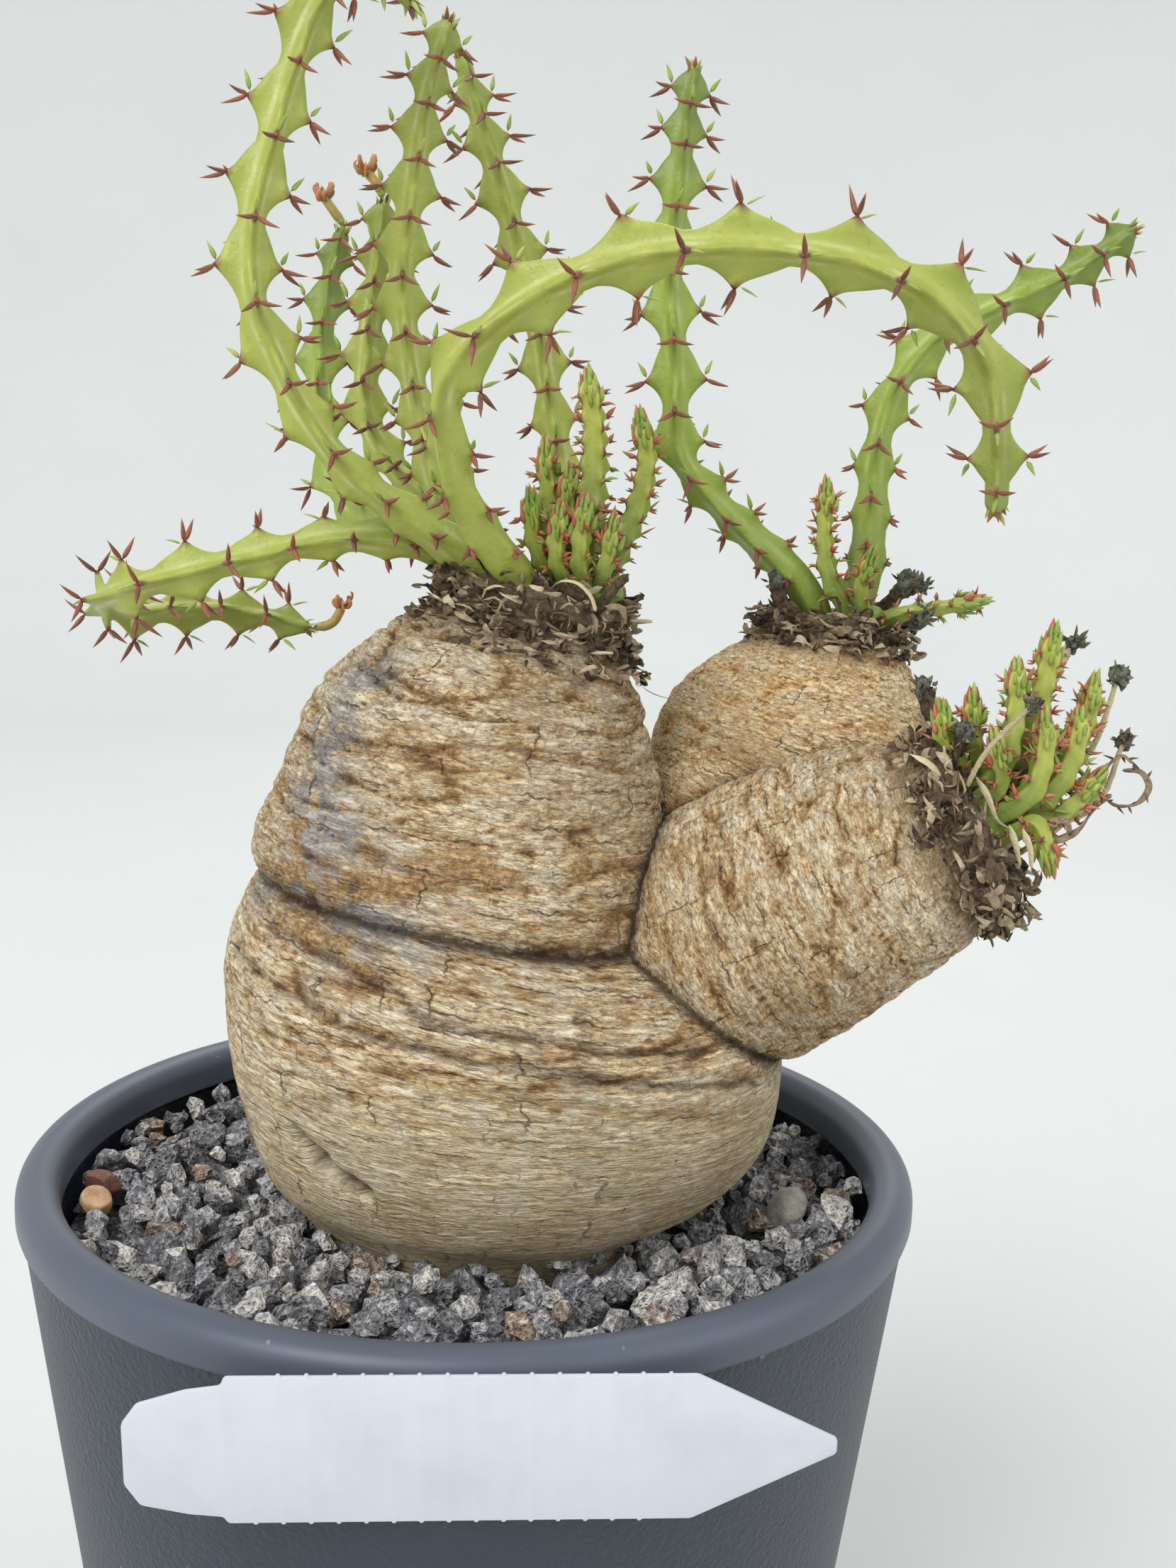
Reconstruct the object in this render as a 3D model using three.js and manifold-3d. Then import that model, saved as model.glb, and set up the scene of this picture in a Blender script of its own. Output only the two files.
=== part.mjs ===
// Potted euphorbia decidua: a swollen cream-barked caudex that carries three crowns of
// thin, toothed and spined stems, in a round tapered plastic pot topped with lava gravel.
// Millimetres, +Z up, origin at the middle of the pot's underside. -Y is the front.
import * as THREE from 'three';
import { mergeVertices } from 'three/addons/utils/BufferGeometryUtils.js';
import Module from 'manifold-3d';

const wasm = await Module();
wasm.setup();

// Pot
const POT_HEIGHT = 112;
const RIM_RADIUS = 60;
const RIM_ROUND = 2.8;
const RIM_DROP = 5.4;
const RIM_STEP = 0.6;
const RIM_UNDERSIDE = 105;
const WALL_RADIUS_TOP = 59.2;
const WALL_SLOPE = 0.131;
const WALL = 2.6;
const FLOOR = 3.2;
const FOOT_RECESS = 1.5;
const FOOT_WIDTH = 5;
const CENTRE_PAD = 8;
const DRAIN_COUNT = 5;
const DRAIN_RADIUS = 3.5;
const DRAIN_CIRCLE = 25;
const POT_SIDES = 38;

// Filling
const GAP = 0.35;
const MIX_TOP = 98;
const BED_BOTTOM = MIX_TOP + GAP;
const BED_TOP = 103.6;
const BED_RADIUS = 54.6;
const BED_SLAB = 1;
const STONE_PITCH = 6.8;
const STONE_ROOM = 0.3;
const STONE_JITTER = 2.2;
const STONE_HEIGHT = [2.2, 4];
const STONE_SPREAD = [0.4, 0.6];
const STONE_TILT = 1.3;
const STONE_TURN = 0.4;
const STONE_SEED = 7;
const CRACK_DEPTH = 0.8;
const CELL_DEPTH = 2;
const EDGE_SETBACK = 0.7;
const PEBBLE_SPREAD = [0.8, 1.15];
const PEBBLE_ROOM = 0.5;

// Caudex: a root under four lobes. A station is its middle x, y, z, its half width, its
// half depth and its lean in degrees
const FOOT_CENTRE = [2.5, 0];
const FOOT_MIDDLE = [3.2, 0];
const FOOT_CLEAR = 26.8;
const FOOT_LAP = 0.5;
const TOP_SETBACK = 2.6;
const ROOT_BOTTOM = 64;
const ROOT_MIDDLE = 88;
const ROOT_TOP = 100;
const ROOT_RADII = [13, 20.5, 23.5];
const ROOT_SIDES = 24;
const LOBES = {
  bulb: {
    towards: 0, rings: 15, sides: 28, wrinkle: 0.22, swell: 0.5,
    stations: [
      [2.5, 0, 98.4, 23.2, 23.2, 0],
      [3, 0, 105, 26, 25, 0],
      [4.2, 0, 110.5, 32, 31, 1],
      [5.2, 0, 118, 35.8, 34.5, 2],
      [4.9, 0, 126, 37.6, 36.5, 4],
      [4.4, 0, 134, 37.6, 36.5, 8],
      [3.4, 0, 140, 34.5, 34, 11],
      [2.4, 0, 145, 30, 30, 13],
      [1.5, 0, 149, 22, 22, 13],
    ],
  },
  main: {
    towards: 0, rings: 24, sides: 28, wrinkle: 0.55, swell: 0.4,
    stations: [
      [0, 0, 137, 24, 24, 13],
      [-1, 0, 143, 26.5, 26.5, 12],
      [-1.6, 0, 149, 27.6, 27.2, 11],
      [-0.9, 0, 157, 26, 25.6, 9],
      [0.4, 0, 166, 23.7, 23.4, 8],
      [1, 0, 171, 22, 21.8, 9],
      [2.6, 0.3, 176, 19, 19.2, 10],
      [4.3, 0.5, 180, 15.6, 15.8, 11],
      [6.4, 0.8, 183.3, 12.2, 12.2, 11.5],
    ],
  },
  back: {
    towards: 25, rings: 10, sides: 20, wrinkle: 0.3, swell: 0.3,
    stations: [
      [28, 5, 138, 13, 13, 50],
      [34, 8, 146, 17, 17, 45],
      [40, 12, 154, 19, 19, 38],
      [44, 15.5, 163, 19.3, 19.3, 24],
      [46.5, 16.3, 171, 17.6, 17.6, 14],
      [48.2, 15.8, 177, 13.5, 13.5, 9],
      [49.4, 15.4, 180.9, 9, 9, 7],
    ],
  },
  side: {
    towards: -18, rings: 12, sides: 24, wrinkle: 0.35, swell: 0.4,
    stations: [
      [22, -2, 136, 15, 15, 61],
      [30, -4.6, 141, 17.2, 17.2, 61],
      [38, -7.3, 146, 17.6, 17.6, 61],
      [45, -9.5, 150.2, 17, 17, 61],
      [51, -11.3, 153.8, 15.8, 15.8, 61],
      [57, -13.2, 157.2, 13.6, 13.6, 61],
      [61.2, -14.5, 159.5, 11.9, 11.9, 61],
    ],
  },
};

// Crowns: middle of the base, lean and its direction, and size of each collar of dead bark
const CROWNS = {
  main: { at: [6.4, 0.8, 183.3], lean: 11.5, towards: 0, radius: 11.8, height: 5.4, flakes: 15, seed: 11 },
  back: { at: [49.4, 15.4, 180.9], lean: 7, towards: 25, radius: 9.2, height: 2.8, flakes: 11, seed: 12 },
  side: {
    at: [61.2, -14.5, 159.5], lean: 61, towards: -18, radius: 11.6, height: 3.6, flakes: 12, seed: 13,
  },
};
const COLLAR_SIDES = 14;
const COLLAR_SHARES = [0.97, 1, 0.86];
const FLAKE_LENGTH = [2.2, 3.8];
const FLAKE_WIDTH = 1.1;
const FLAKE_RISE = 1.6;
const FLAKE_TURN = 0.2;
const FLAKE_BELOW_TOP = 0.4;

// Stems
const NECK = 1.55;
const TOOTH = 2.5;
const TOOTH_ARC = 0.16;
const TOOTH_GROWTH = 34;
const TOOTH_PITCHES = [7, 10, 5.5];
const TWIST_PER_MM = 0.006;
const SPINES_FROM = 14;
const SPINE_LENGTH = 3.4;
const SPINE_ROOT = 0.5;
const SPINE_OUT = 0.62;
const SPINE_ASIDE = 0.7;
const SPINE_DOWN = 0.3;
const TIP_LENGTH = 22;
const STEM_BARE = 7.5;
const STEM_OFF_CROWN = 0.6;
const SOCKET_CLEARANCE = 0.35;

// Short shoots
const SHOOT_BARE = 2;
const SHOOT_GROWTH = 4;
const SHOOT_PITCHES = [5.6, 5.6, 4.6];
const SHOOT_TURN = 0.4;
const BASE_TAPER = 0.72;

// Plant label
const LABEL_THICK = 0.5;
const LABEL_OFF_WALL = 1.3;
const PAD_SIZE = [10, 0.6, 9];
const LABEL_HEIGHT = 102;
const PAD_HEIGHT = 99.5;
const LABEL_OUTLINE = [
  [-35.6, -4], [-34, -6.6], [-29, -7.8], [-25.4, -8.2], [-25, -9], [24, -9], [39.2, -0.9],
  [39.2, 0.9], [24, 9], [-25, 9], [-25.4, 7.9], [-29, 7.4], [-34, 5.8], [-35.6, 3.4],
];

// Each long stem: its crown and its path, from where it leaves the collar to its tip
const STEMS = [
  {
    name: 'stem_left_tall', crown: 'main', seed: 21,
    path: [
      [1, -4, 190], [-3, -5, 193], [-9, -7, 197], [-16, -9, 202], [-21, -10, 208], [-25, -10, 215],
      [-28, -10, 223], [-28, -9, 232], [-26, -7, 241], [-24, -5, 249], [-21, -4, 257], [-17, -3, 262],
      [-12, -2, 262], [-9, -1, 258],
    ],
  },
  {
    name: 'stem_middle_left', crown: 'main', seed: 22, turn: -0.2, pitches: [6.5, 7.5, 5],
    path: [
      [4, 3, 189], [1, 4, 193], [-5, 6, 199], [-8, 8, 208], [-10, 9, 218], [-11, 9, 227],
      [-10, 9, 237], [-8, 9, 250], [-5, 9, 260],
    ],
  },
  {
    name: 'stem_middle_right', crown: 'main', seed: 23, turn: -0.45, pitches: [6.5, 8, 5],
    path: [
      [10, 8, 188], [11, 13, 195], [11, 18, 203], [9, 21, 214], [7, 23, 225], [4, 24, 235],
      [0, 24, 247], [-4, 24, 259],
    ],
  },
  {
    name: 'stem_back_left', crown: 'main', seed: 24, turn: 1.6,
    path: [
      [-1, 5, 190], [-6, 9, 193], [-12, 14, 195], [-18, 22, 197], [-22, 30, 203], [-24, 36, 212],
      [-24, 39, 221], [-23, 41, 230], [-21, 41, 238],
    ],
  },
  {
    name: 'stem_back_middle', crown: 'main', seed: 25, turn: -0.4, pitches: [6.5, 7.5, 5],
    path: [
      [4, 8, 189], [0, 11, 193], [-6, 14, 198], [-12, 17, 203], [-16, 20, 210], [-16, 21, 219],
      [-15, 21, 229], [-14, 20, 239],
    ],
  },
  {
    name: 'stem_front_arch', crown: 'main', seed: 26, thick: 1.12, turn: -0.75, pitches: [7, 12, 6],
    path: [
      [5, -7, 189], [2, -10, 193], [-2, -14, 199], [-4, -18, 206], [-4, -21, 213], [0, -24, 218],
      [7, -28, 223], [18, -30, 227], [30, -30, 228], [42, -28, 227], [52, -26, 223], [58, -25, 216],
      [60, -24, 207], [61, -22, 199],
    ],
  },
  {
    name: 'stem_left_hairpin', crown: 'main', seed: 27, turn: 0,
    path: [
      [-1, 0, 190], [-5, -1, 193], [-11, -2, 194], [-18, -1, 194], [-30, 0, 191], [-41, 0, 188],
      [-47, 4, 186], [-51, 12, 184], [-49, 20, 182], [-41, 29, 182], [-33, 33, 181], [-25, 34, 179],
    ],
  },
  {
    name: 'stem_back_crown_left', crown: 'back', seed: 28, turn: 1.15, pitches: [6.5, 8.5, 5],
    path: [
      [47, 14, 184], [44, 13, 189], [37, 10, 195], [31, 7, 200], [26, 5, 206], [25, 5, 217],
      [24, 7, 229], [25, 9, 241], [26, 11, 250], [27, 12, 256],
    ],
  },
  {
    name: 'stem_back_crown_right', crown: 'back', seed: 29, turn: -0.35, pitches: [6.5, 9, 5],
    path: [
      [53, 17, 184], [54, 16, 190], [54, 14, 199], [54, 12, 208], [56, 11, 216], [61, 11, 222],
      [70, 10, 227], [78, 9, 231], [86, 7, 237],
    ],
  },
];

// A bunch: its base as across, along, radius and height on its crown, and its shoots, each
// with a foot on the crown and a path
const BUNCHES = [
  {
    name: 'shoots_main_crown', crown: 'main', base: [6, -2.5, 5, 2.6],
    shoots: [
      {
        foot: [6, -4], path: [[13, -5, 195], [14, -5, 202], [14, -5, 208], [13, -5, 215]],
        neck: 1.9, tooth: 1.1,
      },
      {
        foot: [8, -2], path: [[17, -2, 192], [20, -2, 199], [21, -2, 205], [20, -2, 210]],
        neck: 1.7, tooth: 0.9,
      },
      { foot: [3.5, -2], path: [[9, -2, 197], [8, -2, 206]], neck: 1.7, tooth: 0.9 },
      { foot: [3.5, -5], path: [[7, -7, 194], [6, -8, 200]], neck: 1.6, tooth: 0.9 },
      { foot: [7, 0], path: [[14, 2, 194], [15, 3, 200]], neck: 1.5, tooth: 0.8 },
    ],
  },
  {
    name: 'shoots_back_crown', crown: 'back', base: [1.5, -5, 2.8, 2],
    shoots: [
      { foot: [1, -4.5], path: [[48, 11, 190], [47, 11, 196], [47, 11, 202]], neck: 1.5, tooth: 0.8 },
      { foot: [1.5, -6], path: [[52, 9, 189], [53, 8, 193]], neck: 1.4, tooth: 0.7 },
      { foot: [2.5, -5], path: [[58, 9, 185], [64, 10, 186], [70, 11, 187]], neck: 1.2, tooth: 0.5 },
    ],
  },
  {
    name: 'shoots_side_crown', crown: 'side', base: [-1, 0, 6, 3],
    shoots: [
      { foot: [-1, 0], path: [[68, -16, 169], [70, -16, 177], [71, -16, 185]], neck: 1.9, tooth: 1.1 },
      { foot: [-3, -3], path: [[65, -19, 169], [66, -19, 175], [66, -18, 181]], neck: 1.7, tooth: 1 },
      { foot: [0, 2], path: [[72, -15, 167], [76, -15, 173], [77, -15, 179]], neck: 1.7, tooth: 0.9 },
      { foot: [-4, 1], path: [[62, -14, 169], [60, -14, 174], [59, -15, 179]], neck: 1.3, tooth: 0.6 },
      { foot: [1, -2.5], path: [[73, -19, 163], [77, -20, 168]], neck: 1.6, tooth: 0.9 },
    ],
  },
];

// Dead stubs, and dried flower stalks with their heads: a foot on the collar and a path
const TWIGS = {
  main: [
    { foot: [7.5, -8.4], path: [[20, -11, 188]], thick: 0.8 },
    { foot: [9, 4], path: [[22, 6, 187]], thick: 0.6 },
    { foot: [-9, -4], path: [[-6, -7, 189]], thick: 0.7 },
  ],
  back: [
    { foot: [-7, -3], path: [[40, 11, 188]], thick: 1.3 },
    { foot: [7.6, 1.5], path: [[60, 16, 189]], thick: 1.2 },
    { foot: [5, 6], path: [[64, 23, 188]], thick: 0.7 },
  ],
  side: [
    { foot: [-3, 8.5], path: [[71, -9, 172], [76, -9, 183]], thick: 0.5, head: 1.9 },
    { foot: [0, 9], path: [[78, -10, 168], [82, -10, 179]], thick: 0.5, head: 1.7 },
    { foot: [3, 8.5], path: [[79, -12, 162], [83, -11, 171]], thick: 0.5, head: 1.6 },
    { foot: [-4, -8.5], path: [[61, -24, 171], [66, -25, 177]], thick: 0.5, head: 1.4 },
    { foot: [7, 5], path: [[75, -13, 158], [82, -14, 166]], thick: 0.6, head: 1.5 },
    { foot: [-8.6, 3], path: [[57, -9, 177]], thick: 1.3 },
  ],
};

// Odd pebbles lying in the gravel
const PEBBLES = [
  { name: 'pebble_tan', at: [-49.5, -8, 106.5], size: 2.9, finish: 'tan', seed: 61 },
  { name: 'pebble_rust', at: [-50.3, -1, 105.6], size: 2.4, finish: 'rust', seed: 62 },
  { name: 'pebble_pale', at: [42, -10, 106], size: 3.2, finish: 'pale', seed: 63 },
];

const material = (color, roughness, metalness = 0) =>
  new THREE.MeshStandardMaterial({ color, roughness, metalness });

const finishes = {
  pot: material(0x4b525c, 0.55),
  mix: material(0x2b2622, 0.95),
  lava: material(0x4a4e55, 0.95),
  tan: material(0xb29a72, 0.85),
  rust: material(0x6b3b2c, 0.9),
  pale: material(0x8d897f, 0.85),
  bark: material(0xb9a583, 0.85),
  deadBark: material(0x574638, 0.95),
  stem: material(0x93b23a, 0.5),
  shoot: material(0x6f9a3c, 0.55),
  label: material(0xe6ebec, 0.4),
  pad: material(0xd8dad8, 0.7),
};

// Random draws repeat from run to run
function randomFrom(seed) {
  let state = seed >>> 0;
  return () => {
    state = (state + 0x6d2b79f5) >>> 0;
    let t = state;
    t = Math.imul(t ^ (t >>> 15), t | 1);
    t ^= t + Math.imul(t ^ (t >>> 7), t | 61);
    return ((t ^ (t >>> 14)) >>> 0) / 4294967296;
  };
}

const between = (random, [low, high]) => low + (high - low) * random();

const smooth = (from, to, value) => THREE.MathUtils.smoothstep(value, from, to);

function solidFrom(geometry) {
  geometry.deleteAttribute('normal');
  geometry.deleteAttribute('uv');
  const merged = mergeVertices(geometry, 1e-4);
  const index = merged.index.array;
  const faces = [];
  for (let i = 0; i < index.length; i += 3) {
    const [a, b, c] = [index[i], index[i + 1], index[i + 2]];
    if (a !== b && b !== c && c !== a) faces.push(a, b, c);
  }
  return new wasm.Manifold(new wasm.Mesh({
    numProp: 3,
    vertProperties: new Float32Array(merged.attributes.position.array),
    triVerts: new Uint32Array(faces),
  }));
}

function meshFrom(solid, name, finish) {
  const { vertProperties, triVerts } = solid.getMesh();
  const geometry = new THREE.BufferGeometry();
  geometry.setAttribute('position', new THREE.BufferAttribute(vertProperties, 3));
  geometry.setIndex(new THREE.BufferAttribute(triVerts, 1));
  geometry.computeVertexNormals();
  const mesh = new THREE.Mesh(geometry, finish);
  mesh.name = name;
  return mesh;
}

function join(solids) {
  return wasm.Manifold.union(solids);
}

// A cut can leave loose scraps; only the largest body is kept
function withoutScraps(solid) {
  return solid.decompose().sort((a, b) => b.volume() - a.volume())[0];
}

// A turned solid about the Z axis through (x, y); the profile lists [radius, height]
function turned(profile, sides, [x, y] = [0, 0]) {
  const points = profile.map(([radius, height]) => new THREE.Vector2(radius, height));
  const geometry = new THREE.LatheGeometry(points, sides);
  geometry.rotateX(Math.PI / 2);
  geometry.translate(x, y, 0);
  return solidFrom(geometry);
}

// A closed skin over rings that all have the same number of points
function skin(rings) {
  const sides = rings[0].length;
  const positions = [];
  const faces = [];
  const middle = (ring) => ring
    .reduce((sum, p) => sum.add(p), new THREE.Vector3())
    .divideScalar(sides);
  for (const ring of rings) ring.forEach((p) => positions.push(p.x, p.y, p.z));
  const first = middle(rings[0]);
  const last = middle(rings[rings.length - 1]);
  positions.push(first.x, first.y, first.z, last.x, last.y, last.z);
  const start = rings.length * sides;
  for (let r = 0; r + 1 < rings.length; r += 1) {
    for (let i = 0; i < sides; i += 1) {
      const j = (i + 1) % sides;
      const [a, b] = [r * sides + i, r * sides + j];
      const [c, d] = [a + sides, b + sides];
      faces.push(a, b, d, a, d, c);
    }
  }
  for (let i = 0; i < sides; i += 1) {
    const j = (i + 1) % sides;
    const top = (rings.length - 1) * sides;
    faces.push(start, j, i, start + 1, top + i, top + j);
  }
  const geometry = new THREE.BufferGeometry();
  geometry.setAttribute('position', new THREE.Float32BufferAttribute(positions, 3));
  geometry.setIndex(faces);
  return solidFrom(geometry);
}

// Stands an upright geometry on one point with its top at another
function standing(geometry, from, to) {
  const upright = new THREE.Vector3(0, 1, 0);
  const axis = to.clone().sub(from).normalize();
  geometry.translate(0, from.distanceTo(to) / 2, 0);
  geometry.applyQuaternion(new THREE.Quaternion().setFromUnitVectors(upright, axis));
  geometry.translate(from.x, from.y, from.z);
  return solidFrom(geometry);
}

// A round bar from one point to another
function bar(from, to, radiusFrom, radiusTo, sides = 8) {
  const length = from.distanceTo(to);
  return standing(new THREE.CylinderGeometry(radiusTo, radiusFrom, length, sides), from, to);
}

// A slim three-sided needle, sunk in what carries it
function needle(root, tip, radius) {
  return standing(new THREE.ConeGeometry(radius, root.distanceTo(tip), 3), root, tip);
}

const wallRadius = (height) => WALL_RADIUS_TOP - WALL_SLOPE * (POT_HEIGHT - RIM_DROP - height);

function buildPot() {
  const rimMiddle = [RIM_RADIUS - RIM_ROUND, POT_HEIGHT - RIM_ROUND];
  const rimArc = [0, 45, 90, 135, 180].map((degrees) => {
    const angle = THREE.MathUtils.degToRad(degrees);
    return [rimMiddle[0] + RIM_ROUND * Math.cos(angle), rimMiddle[1] + RIM_ROUND * Math.sin(angle)];
  });
  const rimInside = rimMiddle[0] - RIM_ROUND;
  const footRadius = wallRadius(0);
  const profile = [
    [0, 0],
    [CENTRE_PAD, 0],
    [CENTRE_PAD + FOOT_RECESS, FOOT_RECESS],
    [footRadius - FOOT_WIDTH, FOOT_RECESS],
    [footRadius - FOOT_WIDTH + FOOT_RECESS, 0],
    [footRadius - 1, 0],
    [wallRadius(1), 1],
    [wallRadius(POT_HEIGHT - RIM_DROP), POT_HEIGHT - RIM_DROP],
    [RIM_RADIUS, POT_HEIGHT - RIM_DROP + RIM_STEP],
    ...rimArc,
    [rimInside, POT_HEIGHT - RIM_DROP],
    [wallRadius(RIM_UNDERSIDE) - WALL, RIM_UNDERSIDE],
    [wallRadius(FLOOR) - WALL, FLOOR],
    [0, FLOOR],
  ];
  const holes = [];
  for (let i = 0; i < DRAIN_COUNT; i += 1) {
    const angle = (i / DRAIN_COUNT) * 2 * Math.PI;
    const under = new THREE.Vector3(DRAIN_CIRCLE * Math.cos(angle), DRAIN_CIRCLE * Math.sin(angle), -1);
    const over = under.clone().setZ(FLOOR + 1);
    holes.push(bar(under, over, DRAIN_RADIUS, DRAIN_RADIUS));
  }
  return turned(profile, POT_SIDES).subtract(join(holes));
}

// The root below the gravel, and the hole that it stands in
function rootProfile(clearance) {
  return [
    [0, ROOT_BOTTOM - clearance],
    [ROOT_RADII[0] + clearance, ROOT_BOTTOM - clearance],
    [ROOT_RADII[1] + clearance, ROOT_MIDDLE],
    [ROOT_RADII[2] + clearance, ROOT_TOP],
    [0, ROOT_TOP],
  ];
}

function buildMix() {
  const bottom = FLOOR + GAP;
  const body = turned([
    [0, bottom],
    [wallRadius(bottom) - WALL - GAP, bottom],
    [wallRadius(MIX_TOP) - WALL - GAP, MIX_TOP],
    [0, MIX_TOP],
  ], POT_SIDES);
  return body.subtract(turned(rootProfile(GAP), ROOT_SIDES, FOOT_CENTRE));
}

// A loose pebble is an icosahedron with its corners pushed about
function buildPebble({ at, size, seed }, extra = 0) {
  const random = randomFrom(seed);
  const geometry = new THREE.IcosahedronGeometry(1, 0);
  geometry.deleteAttribute('normal');
  geometry.deleteAttribute('uv');
  const merged = mergeVertices(geometry);
  const position = merged.attributes.position;
  for (let i = 0; i < position.count; i += 1) {
    const p = new THREE.Vector3().fromBufferAttribute(position, i);
    p.multiplyScalar(size * between(random, PEBBLE_SPREAD) + extra).add(new THREE.Vector3(...at));
    position.setXYZ(i, p.x, p.y, p.z);
  }
  return solidFrom(merged);
}

// Moves a point in plan so that it lies clear of the plant's foot and inside the pot
function withinBed(x, y, fromFoot, fromWall) {
  const plan = new THREE.Vector2(x, y);
  const middle = new THREE.Vector2(...FOOT_MIDDLE);
  const outward = plan.clone().sub(middle);
  const nearest = FOOT_CLEAR + fromFoot;
  const furthest = BED_RADIUS - fromWall;
  if (outward.length() < nearest) plan.copy(middle).add(outward.setLength(nearest));
  if (plan.length() > furthest) plan.setLength(furthest);
  return plan;
}

// Crushed stones lie side by side as a field of six-cornered cells. Each cell rises from
// its low corners, the cracks, to a small tilted three-cornered top.
function buildStoneField() {
  const random = randomFrom(STONE_SEED);
  const positions = [];
  const cracks = new Map();
  const put = (plan, z) => positions.push(plan.x, plan.y, z) / 3 - 1;
  const crackAt = (x, y) => {
    const key = `${Math.round(x * 10)},${Math.round(y * 10)}`;
    if (!cracks.has(key)) {
      const [dx, dy] = [STONE_JITTER * (random() - 0.5), STONE_JITTER * (random() - 0.5)];
      const plan = withinBed(x + dx, y + dy, 0, 0);
      const top = put(plan, BED_TOP + random() * CRACK_DEPTH);
      cracks.set(key, { top, low: put(plan, BED_BOTTOM + CELL_DEPTH) });
    }
    return cracks.get(key);
  };
  const faces = [];
  const edges = new Map();
  const reach = Math.ceil(BED_RADIUS / STONE_PITCH) + 2;
  const side = STONE_PITCH / Math.sqrt(3);
  for (let row = -reach; row <= reach; row += 1) {
    for (let column = -reach; column <= reach; column += 1) {
      const x = STONE_PITCH * (column + 0.5 * (Math.abs(row) % 2));
      const y = 1.5 * side * row;
      const fromFoot = Math.hypot(x - FOOT_MIDDLE[0], y - FOOT_MIDDLE[1]);
      if (Math.hypot(x, y) > BED_RADIUS - STONE_ROOM * STONE_PITCH) continue;
      if (fromFoot < FOOT_CLEAR + STONE_ROOM * STONE_PITCH) continue;
      const corners = [0, 1, 2, 3, 4, 5].map((k) => {
        const angle = ((k + 0.5) * Math.PI) / 3;
        return crackAt(x + side * Math.cos(angle), y + side * Math.sin(angle));
      });
      const turn = STONE_TURN * (random() - 0.5);
      const height = between(random, STONE_HEIGHT);
      const tops = [0, 1, 2].map((k) => {
        const angle = ((2 * k + 1) * Math.PI) / 3 + turn;
        const spread = side * between(random, STONE_SPREAD);
        const [topX, topY] = [x + spread * Math.cos(angle), y + spread * Math.sin(angle)];
        const plan = withinBed(topX, topY, TOP_SETBACK, EDGE_SETBACK);
        return put(plan, BED_TOP + height - STONE_TILT * random());
      });
      faces.push(...tops);
      for (let k = 0; k < 3; k += 1) {
        const [a, b, c] = [corners[2 * k], corners[2 * k + 1], corners[(2 * k + 2) % 6]];
        const [near, next] = [tops[k], tops[(k + 1) % 3]];
        faces.push(a.top, b.top, near, b.top, c.top, next, b.top, next, near);
      }
      for (let k = 0; k < 6; k += 1) {
        const [a, b] = [corners[k], corners[(k + 1) % 6]];
        if (k > 0 && k < 5) faces.push(corners[0].low, b.low, a.low);
        edges.set(`${a.top},${b.top}`, [a, b]);
      }
    }
  }
  for (const [a, b] of edges.values()) {
    const shared = edges.has(`${b.top},${a.top}`);
    if (!shared) faces.push(a.low, b.low, b.top, a.low, b.top, a.top);
  }
  const geometry = new THREE.BufferGeometry();
  geometry.setAttribute('position', new THREE.Float32BufferAttribute(positions, 3));
  geometry.setIndex(faces);
  return solidFrom(geometry);
}

function buildGravel() {
  const disc = (radius, low, high, middle) => (
    turned([[0, low], [radius, low], [radius, high], [0, high]], POT_SIDES, middle));
  const slab = disc(BED_RADIUS, BED_BOTTOM, BED_TOP - BED_SLAB)
    .subtract(disc(FOOT_CLEAR - FOOT_LAP, 0, POT_HEIGHT, FOOT_MIDDLE));
  const pebbles = PEBBLES.map((item) => buildPebble(item, PEBBLE_ROOM));
  return withoutScraps(join([slab, buildStoneField()]).subtract(join(pebbles)));
}

// A unit frame whose third axis leans from upright by an angle, towards a compass direction
function leaningFrame(leanDegrees, towardsDegrees) {
  const lean = THREE.MathUtils.degToRad(leanDegrees);
  const towards = THREE.MathUtils.degToRad(towardsDegrees);
  const [sinLean, cosLean] = [Math.sin(lean), Math.cos(lean)];
  return {
    across: new THREE.Vector3(cosLean * Math.cos(towards), cosLean * Math.sin(towards), -sinLean),
    along: new THREE.Vector3(-Math.sin(towards), Math.cos(towards), 0),
    axis: new THREE.Vector3(sinLean * Math.cos(towards), sinLean * Math.sin(towards), cosLean),
  };
}

// A lobe of the caudex: rings drawn through its stations, with wrinkles as a low wave
function lobe({ stations, towards, rings, sides, wrinkle, swell }) {
  const through = (points) => new THREE.CatmullRomCurve3(points, false, 'catmullrom', 0.5);
  const middles = through(stations.map(([x, y, z]) => new THREE.Vector3(x, y, z)));
  const sizes = through(stations.map((station) => new THREE.Vector3(...station.slice(3))));
  const loops = [];
  for (let r = 0; r < rings; r += 1) {
    const t = r / (rings - 1);
    const centre = middles.getPoint(t);
    const size = sizes.getPoint(t);
    const frame = leaningFrame(size.z, towards);
    const inside = r > 0 && r < rings - 1 ? 1 : 0;
    const loop = [];
    for (let i = 0; i < sides; i += 1) {
      const angle = (i / sides) * 2 * Math.PI;
      const ridge = wrinkle * inside * (r % 2 ? 1 : -1) * (0.7 + 0.3 * Math.sin(3 * angle + 1.7 * r));
      const lump = swell * inside * Math.sin(2 * angle + 0.35 * r) * Math.cos(3 * angle + 0.5 * r);
      const grow = ridge + lump;
      const p = centre.clone()
        .addScaledVector(frame.across, (size.x + grow) * Math.cos(angle))
        .addScaledVector(frame.along, (size.y + grow) * Math.sin(angle));
      loop.push(p);
    }
    loops.push(loop);
  }
  return skin(loops);
}

function buildCaudex() {
  const root = turned(rootProfile(0), ROOT_SIDES, FOOT_CENTRE);
  return join([root, ...Object.values(LOBES).map((shape) => lobe(shape))]);
}

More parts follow.
